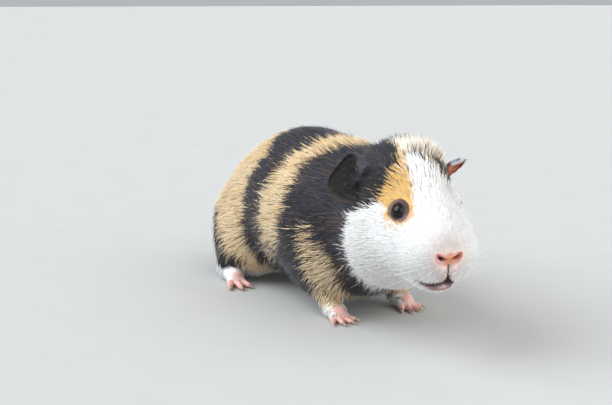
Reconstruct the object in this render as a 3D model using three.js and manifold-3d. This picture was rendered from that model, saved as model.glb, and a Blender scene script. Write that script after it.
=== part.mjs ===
// Guinea pig, adult, standing low on all four feet with its head turned a little to its right.
// Millimetres, +Z up. The animal faces -Y, its left side is +X, and the soles stand on Z = 0.
// The body is one blended form, given by rounded primitives, that reaches out to the tips of the
// coat. It is parted with thin cuts into head, neck, trunk, legs and feet; ears and eyes are set in.
import * as THREE from "three";
import { mergeVertices } from "three/addons/utils/BufferGeometryUtils.js";
import Module from "manifold-3d";

const wasm = await Module();
wasm.setup();

// ---------------------------------------------------------------- driving dimensions
const GAP = 0.3; // clearance between neighbouring pieces
const ORIGIN_SHIFT = [0.55, 2.04, 0]; // brings the foot of the bounding box's middle to the origin

const HEAD_AT = [-12.3, -77.2, 68.4]; // middle of the head's own frame
const HEAD_YAW = -9.8; // degrees, negative turns the nose to the animal's right
const HEAD_PITCH = -4.8; // degrees, negative drops the nose
const HEAD_ROLL = -1.3;

const TRUNK_CELL = 8.2; // facet sizes
const NECK_CELL = 7.2;
const HEAD_CELL = 5.3;
const FORE_FOOT_CELL = 2.8;
const HIND_FOOT_CELL = 3.2;

const HEAD_BLEND = [4, 22, -26, 8]; // how softly the head runs into the body: at the face, at the neck, and where it changes
const LEG_BLEND = 8;

// Body primitives: [kind, centre or start, radii or end, [r1, r2], blend, mirrored]
const BODY = [
  ["ell", [0, 38, 54], [41, 49, 46], null, 0, 0], // abdomen
  ["ell", [0, 78, 44], [31, 41, 39.5], null, 20, 0], // rump
  ["ell", [0, 6, 51.5], [37.5, 45, 37], null, 22, 0], // ribs
  ["ell", [0, -12, 36], [29, 36, 27], null, 18, 0], // breast
  ["ell", [23.4, 78, 30], [19, 29, 28.5], null, 18, 1], // haunch
  ["ell", [21.5, -7, 38], [16, 25, 29], null, 18, 1], // shoulder
  ["cone", [0, -8, 60], [-10.8, -62, 70], [31, 24], 24, 0], // nape
  ["cone", [0, -17, 43], [-10.8, -64, 51], [28, 24], 18, 0], // throat
];

// Head primitives, in the head's own frame
const HEAD = [
  ["ell", [0, 2, 3.6], [16.4, 27, 24.4], null, 0, 0], // skull
  ["cone", [0, -6, 14.4], [0, -33, 0], [13.6, 8.8], 12, 0], // bridge of the nose
  ["cone", [0, -7.5, 1], [0, -32.2, -7.5], [14, 11.7], 12, 0], // snout
  ["ell", [11.3, -3.5, -10.4], [14.2, 26, 17.2], null, 16, 1], // cheek
  ["ell", [7.5, -32.4, -12.6], [9.7, 11.2, 9.8], null, 12, 1], // whisker pad
  ["cone", [0, -2, -20.6], [0, -29.5, -23], [13.1, 9.5], 12, 0], // jaw and chin
  ["ell", [0, 6.5, 20.6], [18.4, 15.5, 12], null, 14, 0], // crown
];

const SHANKS = [
  ["cone", [22, -11, 32], [22.4, -20, 9.5], [11, 6.8], LEG_BLEND, 1], // forearm
  ["cone", [28, 76, 24], [32.6, 82, 9.5], [14, 8.2], LEG_BLEND, 1], // lower hind leg
];

// Feet: four toes in front, three behind, each a tapered finger with a claw
const FORE_PALM = { at: [22.6, -25.4, 4.9], r: [5.8, 8.4, 4.9] };
const FORE_TOES = {
  at: [22.8, -30.2, 2.5],
  spread: [-30, -10, 10, 30],
  row: 2.3,
  length: [6.2, 7.8, 7.8, 6.0],
  r: [2.3, 1.55],
};
const HIND_SOLE = { from: [32.6, 83, 6.6], to: [37.0, 65.5, 4.4], r: [6.8, 5.0] };
const HIND_TOES = {
  at: [37.6, 63.2, 2.8],
  yaw: 12,
  spread: [-17, 0, 17],
  row: 3.3,
  length: [8.6, 10.2, 8.8],
  r: [2.7, 1.9],
};
const CLAW = { length: 3.4, r: [1.15, 0.55], drop: 0.9 };

// Eyes: centres given as on the left, the left one set a little deeper and further back
const EYE = { right: [14.4, -20.5, 6.5], left: [14.1, -18.5, 6.1], r: 5.0 };

// Ear: a thin petal fanned round its root, wider than it is long, with a scalloped rim
const EAR = {
  // root, the way the petal points, the way its hollow side looks and how far its upper edge folds over, all given as on the left
  right: { at: [25.4, 6.0, 16.8], out: [0.84, 0.4, -0.08], face: [0.46, -0.87, -0.1], reach: 16.0, fold: 7.0 },
  left: { at: [24.0, 5.2, 17.4], out: [0.93, 0.3, -0.05], face: [0.05, -0.72, -0.69], reach: 12.0, fold: 1.5 },
  // share of the reach against degrees round the root
  rim: [[-92, 0.66], [-72, 0.79], [-44, 0.95], [-28, 1.0], [-10, 1.0], [5, 0.92], [19, 0.84], [38, 0.8], [56, 0.79], [66, 0.86], [78, 0.94], [90, 0.93], [104, 0.86], [118, 0.75]],
  inner: 0.2,
  thick: [1.9, 1.05],
  from: -92, // degrees round the root, lower edge
  to: 118, // upper edge
  steps: 13,
  rings: 5,
};

// Cuts between pieces
const NECK_HEAD_CUT = { at: [0, 16.5, 0], tilt: 16 }; // in the head's frame
const NECK_TRUNK_CUT = { at: [0, -38, 56], tilt: 15 };
const FORE_CUT = { at: [24, -18, 18], r: [15.5, 29, 26] };
const HIND_CUT = { at: [31, 75, 20], r: [24, 32, 29] };
const ANKLE_Z = 8.4;

// ---------------------------------------------------------------- rounded primitives
const len = Math.hypot;
const deg = Math.PI / 180;
const ss = (a, b, x) => {
  const t = Math.min(1, Math.max(0, (x - a) / (b - a)));
  return t * t * (3 - 2 * t);
};

function ellipsoid(p, c, r) {
  const x = p[0] - c[0], y = p[1] - c[1], z = p[2] - c[2];
  const k0 = len(x / r[0], y / r[1], z / r[2]);
  const k1 = len(x / (r[0] * r[0]), y / (r[1] * r[1]), z / (r[2] * r[2]));
  return k1 < 1e-9 ? -Math.min(...r) : (k0 * (k0 - 1)) / k1;
}

function roundCone(p, a, b, [r1, r2]) {
  const ba = [b[0] - a[0], b[1] - a[1], b[2] - a[2]];
  const pa = [p[0] - a[0], p[1] - a[1], p[2] - a[2]];
  const l2 = ba[0] ** 2 + ba[1] ** 2 + ba[2] ** 2;
  const rr = r1 - r2, a2 = l2 - rr * rr, il2 = 1 / l2;
  const y = pa[0] * ba[0] + pa[1] * ba[1] + pa[2] * ba[2];
  const z = y - l2;
  const q = [0, 1, 2].map((i) => pa[i] * l2 - ba[i] * y);
  const x2 = q[0] ** 2 + q[1] ** 2 + q[2] ** 2;
  const y2 = y * y * l2, z2 = z * z * l2, k = Math.sign(rr) * rr * rr * x2;
  if (Math.sign(z) * a2 * z2 > k) return Math.sqrt(x2 + z2) * il2 - r2;
  if (Math.sign(y) * a2 * y2 < k) return Math.sqrt(x2 + y2) * il2 - r1;
  return (Math.sqrt(x2 * a2 * il2) + y * rr) * il2 - r1;
}

function blend(a, b, k) {
  if (k <= 0) return Math.min(a, b);
  const h = Math.max(k - Math.abs(a - b), 0) / k;
  return Math.min(a, b) - h * h * k * 0.25;
}

function group(list, p, start = Infinity) {
  let d = start;
  const m = [Math.abs(p[0]), p[1], p[2]];
  for (const [kind, a, b, r, k, mirrored] of list) {
    const q = mirrored ? m : p;
    const v = kind === "ell" ? ellipsoid(q, a, b) : roundCone(q, a, b, r);
    d = d === Infinity ? v : blend(d, v, k);
  }
  return d;
}

const headFrame = new THREE.Matrix4()
  .makeRotationZ(HEAD_YAW * deg)
  .multiply(new THREE.Matrix4().makeRotationX(-HEAD_PITCH * deg))
  .multiply(new THREE.Matrix4().makeRotationY(HEAD_ROLL * deg))
  .setPosition(...HEAD_AT);
const toHead = headFrame.clone().invert();
const v3 = new THREE.Vector3();
const inHead = (p) => v3.set(...p).applyMatrix4(toHead).toArray();
const fromHead = (p) => v3.set(...p).applyMatrix4(headFrame).toArray();

const form = (p) => {
  const q = inHead(p);
  const k = HEAD_BLEND[0] + (HEAD_BLEND[1] - HEAD_BLEND[0]) * ss(HEAD_BLEND[2], HEAD_BLEND[3], q[1]);
  return blend(group(BODY, p), group(HEAD, q), k);
};

// Toes and claws of one foot, as round cones
function toeList(t, yaw = 0) {
  const out = [];
  t.spread.forEach((s, i) => {
    const mid = i - (t.spread.length - 1) / 2;
    const way = (s + yaw) * deg;
    const dir = [Math.sin(way), -Math.cos(way)];
    const y0 = yaw * deg;
    const a = [
      t.at[0] + Math.cos(y0) * mid * t.row,
      t.at[1] + Math.sin(y0) * mid * t.row + Math.abs(mid) * 0.9,
      t.at[2],
    ];
    const b = [a[0] + dir[0] * t.length[i], a[1] + dir[1] * t.length[i], t.r[1] + 0.1];
    const c = [
      b[0] + dir[0] * CLAW.length,
      b[1] + dir[1] * CLAW.length,
      b[2] + 0.6 - CLAW.drop,
    ];
    out.push({ a, b, c, r: t.r });
  });
  return out;
}
const FORE = toeList(FORE_TOES);
const HIND = toeList(HIND_TOES, HIND_TOES.yaw);

function feet(p) {
  const m = [Math.abs(p[0]), p[1], p[2]];
  let f = ellipsoid(m, FORE_PALM.at, FORE_PALM.r);
  for (const t of FORE) f = blend(f, roundCone(m, t.a, t.b, t.r), 1.6);
  let h = roundCone(m, HIND_SOLE.from, HIND_SOLE.to, HIND_SOLE.r);
  for (const t of HIND) h = blend(h, roundCone(m, t.a, t.b, t.r), 1.8);
  return Math.min(f, h);
}
function claws(p) {
  const m = [Math.abs(p[0]), p[1], p[2]];
  let d = Infinity;
  for (const t of [...FORE, ...HIND])
    d = Math.min(d, roundCone(m, [t.b[0], t.b[1], t.b[2] + 0.5], t.c, CLAW.r));
  return d;
}
const shanks = (p) => group(SHANKS, p, form(p));
const lower = (p) => blend(blend(group(SHANKS, p), feet(p), 5), claws(p), 0.5);

// ---------------------------------------------------------------- faceting
function netMesh(f, lo, hi, h) {
  const n = [0, 1, 2].map((i) => Math.ceil((hi[i] - lo[i]) / h) + 3);
  const o = lo.map((v) => v - h * 1.37);
  const at = (i, j, k) => (k * n[1] + j) * n[0] + i;
  const solid = (p) =>
    Math.max(
      f(p),
      ...[0, 1, 2].map((i) => Math.max(lo[i] - p[i], p[i] - hi[i])),
    );
  const val = new Float64Array(n[0] * n[1] * n[2]);
  for (let k = 0; k < n[2]; k++)
    for (let j = 0; j < n[1]; j++)
      for (let i = 0; i < n[0]; i++)
        val[at(i, j, k)] = solid([o[0] + i * h, o[1] + j * h, o[2] + k * h]);
  const id = new Int32Array(val.length).fill(-1);
  const P = [];
  for (let k = 0; k < n[2] - 1; k++)
    for (let j = 0; j < n[1] - 1; j++)
      for (let i = 0; i < n[0] - 1; i++) {
        let s = [0, 0, 0], c = 0;
        for (let e = 0; e < 12; e++) {
          const ax = e >> 2, u = e & 1, w = (e >> 1) & 1;
          const q0 = [i, j, k];
          q0[(ax + 1) % 3] += u;
          q0[(ax + 2) % 3] += w;
          const q1 = q0.slice();
          q1[ax] += 1;
          const a = val[at(...q0)], b = val[at(...q1)];
          if (a < 0 === b < 0) continue;
          const t = a / (a - b);
          for (let d = 0; d < 3; d++) s[d] += q0[d] + t * (q1[d] - q0[d]);
          c++;
        }
        if (c) {
          id[at(i, j, k)] = P.length;
          P.push(s.map((v, d) => o[d] + (v / c) * h));
        }
      }
  const quads = [];
  for (let k = 1; k < n[2] - 1; k++)
    for (let j = 1; j < n[1] - 1; j++)
      for (let i = 1; i < n[0] - 1; i++)
        for (let ax = 0; ax < 3; ax++) {
          const q1 = [i, j, k];
          q1[ax] += 1;
          const a = val[at(i, j, k)], b = val[at(...q1)];
          if (a < 0 === b < 0) continue;
          const u = [0, 0, 0], w = [0, 0, 0];
          u[(ax + 1) % 3] = 1;
          w[(ax + 2) % 3] = 1;
          const c = (x, y) =>
            id[at(i - x * u[0] - y * w[0], j - x * u[1] - y * w[1], k - x * u[2] - y * w[2])];
          const q = [c(0, 0), c(1, 0), c(1, 1), c(0, 1)];
          quads.push(a < 0 ? q : q.reverse());
        }
  // even out the facets, then put each corner back on the form
  const near = P.map(() => new Set());
  for (const q of quads)
    q.forEach((v, i) => near[v].add(q[(i + 1) % 4]).add(q[(i + 3) % 4]));
  const grad = (p) => {
    const e = 0.05;
    return [0, 1, 2].map((i) => {
      const a = p.slice(), b = p.slice();
      a[i] += e;
      b[i] -= e;
      return (solid(a) - solid(b)) / (2 * e);
    });
  };
  for (let round = 0; round < 4; round++) {
    const next = P.map((p, i) => {
      const m = [0, 0, 0];
      near[i].forEach((q) => m.forEach((_, d) => (m[d] += P[q][d] / near[i].size)));
      return p.map((v, d) => v + 0.45 * (m[d] - v));
    });
    next.forEach((p, i) => {
      for (let s = 0; s < 2; s++) {
        const g = grad(p), g2 = g[0] ** 2 + g[1] ** 2 + g[2] ** 2 + 1e-9;
        const d = Math.max(-h, Math.min(h, solid(p)));
        p.forEach((v, k) => (p[k] = v - (d * g[k]) / g2));
      }
      P[i] = p;
    });
  }
  const tri = [];
  const dist = (a, b) => len(P[a][0] - P[b][0], P[a][1] - P[b][1], P[a][2] - P[b][2]);
  for (const [a, b, c, d] of quads)
    if (dist(a, c) < dist(b, d)) tri.push(a, b, c, a, c, d);
    else tri.push(a, b, d, b, c, d);
  return new wasm.Manifold(
    new wasm.Mesh({
      numProp: 3,
      vertProperties: new Float32Array(P.flat()),
      triVerts: new Uint32Array(tri),
    }),
  );
}

// A closed three.js geometry as a solid
function solidOf(geometry, matrix) {
  const g = (geometry.index ? geometry.toNonIndexed() : geometry.clone()).applyMatrix4(
    matrix ?? new THREE.Matrix4(),
  );
  g.deleteAttribute("normal");
  g.deleteAttribute("uv");
  const m = mergeVertices(g, 1e-4);
  const pos = m.attributes.position.array, idx = [];
  for (let i = 0; i < m.index.count; i += 3) {
    const [a, b, c] = [m.index.getX(i), m.index.getX(i + 1), m.index.getX(i + 2)];
    if (a !== b && b !== c && a !== c) idx.push(a, b, c);
  }
  return new wasm.Manifold(
    new wasm.Mesh({ numProp: 3, vertProperties: pos, triVerts: new Uint32Array(idx) }),
  );
}
const largest = (s) =>
  s.decompose().sort((a, b) => b.volume() - a.volume())[0];

// Draws the ends of each very short edge together, so that a cut leaves no sliver facets
function tidy(s, short = 0.05) {
  const m = s.getMesh(), n = m.numProp, root = [...Array(m.numVert).keys()];
  const find = (i) => (root[i] === i ? i : (root[i] = find(root[i])));
  const at = (i) => m.vertProperties.subarray(i * n, i * n + 3);
  for (let i = 0; i < m.triVerts.length; i += 3)
    for (let e = 0; e < 3; e++) {
      const a = m.triVerts[i + e], b = m.triVerts[i + ((e + 1) % 3)];
      const p = at(a), q = at(b);
      if (len(p[0] - q[0], p[1] - q[1], p[2] - q[2]) < short) root[find(a)] = find(b);
    }
  const faces = new Map();
  for (let i = 0; i < m.triVerts.length; i += 3) {
    const t = [0, 1, 2].map((e) => find(m.triVerts[i + e]));
    if (t[0] === t[1] || t[1] === t[2] || t[0] === t[2]) continue;
    const key = t.slice().sort((a, b) => a - b).join();
    if (faces.has(key)) faces.delete(key); // two faces folded flat on each other
    else faces.set(key, t);
  }
  const used = new Map(), pos = [];
  const tri = [...faces.values()].flat().map((v) => {
    if (!used.has(v)) {
      used.set(v, used.size);
      pos.push(...at(v));
    }
    return used.get(v);
  });
  const made = () =>
    new wasm.Manifold(
      new wasm.Mesh({ numProp: 3, vertProperties: new Float32Array(pos), triVerts: new Uint32Array(tri) }),
    );
  try {
    const t = largest(made());
    return edgesPair(t) ? t : null;
  } catch {
    return null;
  }
}
// True when every edge, found by its ends' places, has just two faces
function edgesPair(s) {
  const m = s.getMesh(), ids = new Map(), count = new Map(), id = [];
  for (let i = 0; i < m.numVert; i++) {
    const k = [0, 1, 2].map((d) => Math.round(m.vertProperties[i * m.numProp + d] * 1000)).join();
    if (!ids.has(k)) ids.set(k, ids.size);
    id.push(ids.get(k));
  }
  for (let i = 0; i < m.triVerts.length; i += 3)
    for (let e = 0; e < 3; e++) {
      const a = id[m.triVerts[i + e]], b = id[m.triVerts[i + ((e + 1) % 3)]];
      if (a === b) return false;
      const k = a < b ? a + "_" + b : b + "_" + a;
      count.set(k, (count.get(k) ?? 0) + 1);
    }
  return [...count.values()].every((c) => c === 2);
}
function clean(s) {
  for (const short of [0.05, 0.1, 0.2, 0.02, 0.3, 0.4]) {
    const t = tidy(s, short);
    if (t) return t;
  }
  return null;
}
// Makes a piece with slightly different facet sizes until one comes out sound
function sound(make) {
  for (const k of [1, 0.96, 1.04, 0.92, 1.08, 0.88]) {
    const t = clean(largest(make(k)));
    if (t) return t;
  }
  throw new Error("no sound facets");
}

function slab(size, at, tiltX, frame = new THREE.Matrix4()) {
  return solidOf(
    new THREE.BoxGeometry(...size),
    frame
      .clone()
      .multiply(new THREE.Matrix4().makeTranslation(...at))
      .multiply(new THREE.Matrix4().makeRotationX(tiltX * deg)),
  );
}
function ovoid(c, side, grow = 0, seg = [14, 8]) {
  return solidOf(
    new THREE.SphereGeometry(1, ...seg),
    new THREE.Matrix4()
      .makeTranslation(c.at[0] * side, c.at[1], c.at[2])
      .multiply(new THREE.Matrix4().makeScale(...c.r.map((v) => v + grow))),
  );
}
// everything behind a tilted plane through `at`, as a deep block
function behind(cut, shift, frame) {
  const D = 200, t = cut.tilt * deg;
  const m = (frame ?? new THREE.Matrix4())
    .clone()
    .multiply(new THREE.Matrix4().makeTranslation(...cut.at))
    .multiply(new THREE.Matrix4().makeRotationX(-t))
    .multiply(new THREE.Matrix4().makeTranslation(0, D / 2 + shift, 0));
  return solidOf(new THREE.BoxGeometry(D * 2, D, D * 2), m);
}

// ---------------------------------------------------------------- ear
const norm = (v) => v.map((x) => x / len(...v));
const cross = (a, b) => [
  a[1] * b[2] - a[2] * b[1],
  a[2] * b[0] - a[0] * b[2],
  a[0] * b[1] - a[1] * b[0],
];
// rim radius round the root: a corner at the top, shallow scallops, a fuller lower lobe
function earRim(phi) {
  const t = EAR.rim;
  let i = 0;
  while (i < t.length - 2 && phi > t[i + 1][0]) i++;
  const [a, ra] = t[i], [b, rb] = t[i + 1];
  return ra + ((rb - ra) * (phi - a)) / (b - a);
}
// how far the petal curls towards its hollow side
function earCurl(phi, s, fold) {
  const upper = fold * ss(62, 118, phi) * s * s;
  const lower = 3.2 * ss(-20, -92, phi) * s * s;
  const cup = -2.6 * Math.sin(Math.PI * Math.min(1, s * 0.9)) * 0.8;
  const droop = -2.2 * s * s * ss(60, -10, phi);
  return upper + lower + cup + droop;
}
function earPoint(phi, s, side, off) {
  const own = side < 0 ? EAR.right : EAR.left;
  const a = norm(own.out);
  let c = norm(own.face);
  const d = a[0] * c[0] + a[1] * c[1] + a[2] * c[2];
  c = norm(c.map((v, i) => v - d * a[i]));
  const b = cross(c, a).map((v) => -v); // up along the root
  const up = b[2] < 0 ? b.map((v) => -v) : b;
  const r = own.reach * earRim(phi) * s;
  const u = r * Math.cos(phi * deg), w = r * Math.sin(phi * deg);
  const q = own.at.map((v, i) => v + u * a[i] + w * up[i] + (earCurl(phi, s, own.fold) + off) * c[i]);
  return fromHead([q[0] * side, q[1], q[2]]);
}
function ear(side, grow = 0) {
  const { steps: N, rings: M } = EAR, P = [], T = [];
  for (let face = 0; face < 2; face++)
    for (let j = 0; j < M; j++)
      for (let i = 0; i < N; i++) {
        const phi = EAR.from + ((EAR.to - EAR.from) * i) / (N - 1);
        const s = EAR.inner + ((1 - EAR.inner) * j) / (M - 1);
        const t = (EAR.thick[0] + (EAR.thick[1] - EAR.thick[0]) * s) / 2 + grow;
        P.push(...earPoint(phi, s, side, face ? -t : t));
      }
  const at = (f, j, i) => (f * M + j) * N + i;
  const quad = (a, b, c, d) => T.push(a, b, c, a, c, d);
  for (let j = 0; j < M - 1; j++)
    for (let i = 0; i < N - 1; i++) {
      quad(at(0, j, i), at(0, j + 1, i), at(0, j + 1, i + 1), at(0, j, i + 1));
      quad(at(1, j, i), at(1, j, i + 1), at(1, j + 1, i + 1), at(1, j + 1, i));
    }
  for (let i = 0; i < N - 1; i++) {
    quad(at(0, M - 1, i), at(1, M - 1, i), at(1, M - 1, i + 1), at(0, M - 1, i + 1));
    quad(at(0, 0, i), at(0, 0, i + 1), at(1, 0, i + 1), at(1, 0, i));
  }
  for (let j = 0; j < M - 1; j++) {
    quad(at(0, j, 0), at(1, j, 0), at(1, j + 1, 0), at(0, j + 1, 0));
    quad(at(0, j, N - 1), at(0, j + 1, N - 1), at(1, j + 1, N - 1), at(1, j, N - 1));
  }
  const build = (flip) => {
    const t = T.slice();
    if (flip) for (let i = 0; i < t.length; i += 3) [t[i + 1], t[i + 2]] = [t[i + 2], t[i + 1]];
    return new wasm.Manifold(
      new wasm.Mesh({ numProp: 3, vertProperties: new Float32Array(P), triVerts: new Uint32Array(t) }),
    );
  };
  const m = build(false);
  return m.volume() > 0 ? m : build(true);
}

// ---------------------------------------------------------------- the pieces
const bodies = new Map();
const SIDES = [["right", -1], ["left", 1]];

const trunkBlank = netMesh(shanks, [-60, -75, -2], [60, 130, 112], TRUNK_CELL);
const neckBlank = netMesh(form, [-60, -82, 4], [60, -12, 112], NECK_CELL);
const headBlank = netMesh(form, [-60, -130, 8], [50, -38, 114], HEAD_CELL);

let head = headBlank.subtract(behind(NECK_HEAD_CUT, 0, headFrame));
let neck = neckBlank
  .intersect(behind(NECK_HEAD_CUT, GAP, headFrame))
  .subtract(behind(NECK_TRUNK_CUT, 0));
let trunk = trunkBlank.intersect(behind(NECK_TRUNK_CUT, GAP));

const ankle = (z) => slab([200, 300, 60], [0, 0, z - 30], 0); // everything below z
const ground = slab([200, 300, 40], [0, 0, -20], 0);

for (const [name, side] of SIDES) {
  for (const [leg, cut, lo, hi, cell] of [
    ["foreleg", FORE_CUT, [10, -50, -3], [36, -8, 11.5], FORE_FOOT_CELL],
    ["hindleg", HIND_CUT, [20, 42, -3], [52, 98, 11.5], HIND_FOOT_CELL],
  ]) {
    const box = (l, h) => (side > 0 ? [l, h] : [[-h[0], l[1], l[2]], [-l[0], h[1], h[2]]]);
    bodies.set(
      leg + "_" + name,
      largest(trunkBlank.intersect(ovoid(cut, side)).subtract(ankle(ANKLE_Z + GAP))),
    );
    bodies.set(
      leg.replace("leg", "foot") + "_" + name,
      sound((k) => netMesh(lower, ...box(lo, hi), cell * k).intersect(ankle(ANKLE_Z)).subtract(ground)),
    );
    const room = ovoid(cut, side, GAP);
    trunk = trunk.subtract(room);
    neck = neck.subtract(room);
  }
  const [ex, ey, ez] = EYE[name];
  const eyeAt = fromHead([ex * side, ey, ez]);
  const ball = { at: eyeAt, r: [EYE.r, EYE.r, EYE.r] };
  bodies.set("eye_" + name, ovoid(ball, 1, 0, [14, 10]));
  head = head.subtract(ovoid(ball, 1, GAP, [14, 10]));
  bodies.set("ear_" + name, ear(side));
  const slot = ear(side, GAP);
  head = head.subtract(slot);
  neck = neck.subtract(slot);
}
trunk = trunk.subtract(ankle(ANKLE_Z - 1.2));
bodies.set("head", largest(head));
bodies.set("neck", largest(neck));
bodies.set("trunk", largest(trunk));

// ---------------------------------------------------------------- meshes
const LOOKS = {
  head: [0xece7e0, 0.85],
  neck: [0x2b2724, 0.8],
  trunk: [0x8a6a44, 0.85],
  foreleg: [0x35302c, 0.85],
  forefoot: [0xd9a79b, 0.7],
  hindleg: [0xb98f5c, 0.85],
  hindfoot: [0xdcb3a6, 0.7],
  ear: [0x3a2a26, 0.6],
  eye: [0x120c0a, 0.12],
};
const guineaPig = new THREE.Group();
guineaPig.name = "guinea_pig";
guineaPig.position.set(...ORIGIN_SHIFT);
const axial = new THREE.Group();
guineaPig.add(axial);
for (const [name, body] of bodies) {
  const m = (clean(body) ?? largest(body)).getMesh();
  const g = new THREE.BufferGeometry();
  const v = new Float32Array(m.numVert * 3);
  for (let i = 0; i < m.numVert; i++)
    v.set(m.vertProperties.subarray(i * m.numProp, i * m.numProp + 3), i * 3);
  g.setAttribute("position", new THREE.BufferAttribute(v, 3));
  g.setIndex(new THREE.BufferAttribute(new Uint32Array(m.triVerts), 1));
  g.computeVertexNormals();
  const [color, roughness] = LOOKS[name.split("_")[0]];
  const mesh = new THREE.Mesh(
    g,
    new THREE.MeshStandardMaterial({ color, roughness, metalness: 0, flatShading: true }),
  );
  mesh.name = name;
  axial.add(mesh);
}

export default guineaPig;
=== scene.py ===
import math
import time

import bmesh
import bpy
import numpy as np
import openvdb
from mathutils.kdtree import KDTree
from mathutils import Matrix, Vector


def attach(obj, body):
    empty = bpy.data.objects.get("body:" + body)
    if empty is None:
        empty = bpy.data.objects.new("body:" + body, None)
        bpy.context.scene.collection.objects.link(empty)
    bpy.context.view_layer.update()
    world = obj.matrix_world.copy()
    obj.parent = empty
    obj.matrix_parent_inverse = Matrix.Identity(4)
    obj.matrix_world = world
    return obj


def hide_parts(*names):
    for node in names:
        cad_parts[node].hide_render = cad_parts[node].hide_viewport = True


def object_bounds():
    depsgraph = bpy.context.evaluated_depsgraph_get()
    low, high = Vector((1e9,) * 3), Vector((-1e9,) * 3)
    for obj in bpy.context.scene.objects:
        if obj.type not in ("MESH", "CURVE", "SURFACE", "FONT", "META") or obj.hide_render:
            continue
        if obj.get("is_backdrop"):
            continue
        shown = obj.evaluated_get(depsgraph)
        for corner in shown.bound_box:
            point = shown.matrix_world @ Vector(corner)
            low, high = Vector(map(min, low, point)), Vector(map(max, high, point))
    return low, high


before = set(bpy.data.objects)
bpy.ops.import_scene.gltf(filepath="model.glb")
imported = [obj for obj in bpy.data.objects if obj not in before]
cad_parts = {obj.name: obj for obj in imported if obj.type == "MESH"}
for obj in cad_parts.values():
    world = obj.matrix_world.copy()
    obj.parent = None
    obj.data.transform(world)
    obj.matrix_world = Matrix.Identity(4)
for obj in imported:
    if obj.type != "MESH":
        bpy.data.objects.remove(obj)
CAD_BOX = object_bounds()
START = time.time()
SCENE = bpy.context.scene
F = np.float32


def say(text):
    print("scene %5.1fs %s" % (time.time() - START, text), flush=True)


# ---------------------------------------------------------------- the animal's shape, in millimetres
ORIGIN_SHIFT = np.array([0.55, 2.04, 0.0])
HEAD_AT = np.array([-12.3, -77.2, 68.4])
HEAD_YAW, HEAD_PITCH, HEAD_ROLL = -9.8, -4.8, -1.3
NECK_BLEND = (4, 22, -26, 8)
BODY = [
    ("ell", (0, 38, 54), (41, 49, 46), 0, 0),
    ("ell", (0, 78, 44), (31, 41, 39.5), 20, 0),
    ("ell", (0, 6, 51.5), (37.5, 45, 37), 22, 0),
    ("ell", (0, -12, 36), (29, 36, 27), 18, 0),
    ("ell", (23.4, 78, 30), (19, 29, 28.5), 18, 1),
    ("ell", (21.5, -7, 38), (16, 25, 29), 18, 1),
    ("cone", ((0, -8, 60), (-10.8, -62, 70)), (31, 24), 24, 0),
    ("cone", ((0, -17, 43), (-10.8, -64, 51)), (28, 24), 18, 0),
]
HEAD = [
    ("ell", (0, 2, 3.6), (16.4, 27, 24.4), 0, 0),
    ("cone", ((0, -6, 14.4), (0, -33, 0)), (13.6, 8.8), 12, 0),
    ("cone", ((0, -7.5, 1), (0, -32.2, -7.5)), (14, 11.7), 12, 0),
    ("ell", (11.3, -3.5, -10.4), (14.2, 26, 17.2), 16, 1),
    ("ell", (7.5, -32.4, -12.6), (9.7, 11.2, 9.8), 12, 1),
    ("cone", ((0, -2, -20.6), (0, -29.5, -23)), (13.1, 9.5), 12, 0),
    ("ell", (0, 6.5, 20.6), (18.4, 15.5, 12), 14, 0),
]
SHANKS = [
    ("cone", ((22, -11, 32), (22.4, -20, 9.5)), (11, 6.8), 8, 1),
    ("cone", ((28, 76, 24), (32.6, 82, 9.5)), (14, 8.2), 8, 1),
]
FORE_TOES = dict(at=(22.8, -30.2, 2.5), yaw=0, spread=(-30, -10, 10, 30), row=2.3, length=(6.2, 7.8, 7.8, 6.0), r=(2.3, 1.55))
HIND_TOES = dict(at=(37.6, 63.2, 2.8), yaw=12, spread=(-17, 0, 17), row=3.3, length=(8.6, 10.2, 8.8), r=(2.7, 1.9))
CLAW_LENGTH, CLAW_DROP = 3.4, 0.9
EYE_AT = {-1: np.array([-14.4, -20.5, 6.5]), 1: np.array([14.1, -18.5, 6.1])}
EYE_R = 5.0
EYE_LOOK = np.array([0.83, -0.32, 0.46])
EARS = {
    "right": dict(side=-1, at=(25.4, 6.0, 16.8), out=(0.84, 0.4, -0.08), face=(0.46, -0.87, -0.1), reach=16.0, fold=7.0),
    "left": dict(side=1, at=(24.0, 5.2, 17.4), out=(0.93, 0.3, -0.05), face=(0.05, -0.72, -0.69), reach=12.0, fold=1.5),
}
EAR_RIM = [(-92, 0.66), (-72, 0.79), (-44, 0.95), (-28, 1.0), (-10, 1.0), (5, 0.92), (19, 0.84), (38, 0.8), (56, 0.79), (66, 0.86), (78, 0.94), (90, 0.93), (104, 0.86), (118, 0.75)]


def ss(a, b, x):
    t = np.clip((x - a) / (b - a), 0, 1)
    return t * t * (3 - 2 * t)


def mix(a, b, t):
    return a + (b - a) * t


def unit(v):
    v = np.asarray(v)
    return v / (np.sqrt((v * v).sum(-1, keepdims=True)) + 1e-9)


def turn(yaw, pitch, roll):
    y, p, r = [math.radians(a) for a in (yaw, pitch, roll)]
    z = np.array([[math.cos(y), -math.sin(y), 0], [math.sin(y), math.cos(y), 0], [0, 0, 1]])
    x = np.array([[1, 0, 0], [0, math.cos(p), math.sin(p)], [0, -math.sin(p), math.cos(p)]])
    w = np.array([[math.cos(r), 0, math.sin(r)], [0, 1, 0], [-math.sin(r), 0, math.cos(r)]])
    return z @ x @ w


HEAD_TURN = turn(HEAD_YAW, HEAD_PITCH, HEAD_ROLL)


def to_head(p):
    return (p - HEAD_AT.astype(p.dtype)) @ HEAD_TURN.astype(p.dtype)


def from_head(q):
    return np.asarray(q, float) @ HEAD_TURN.T + HEAD_AT


def turn_out(v):
    return np.asarray(v) @ HEAD_TURN.T.astype(np.asarray(v).dtype)


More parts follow.
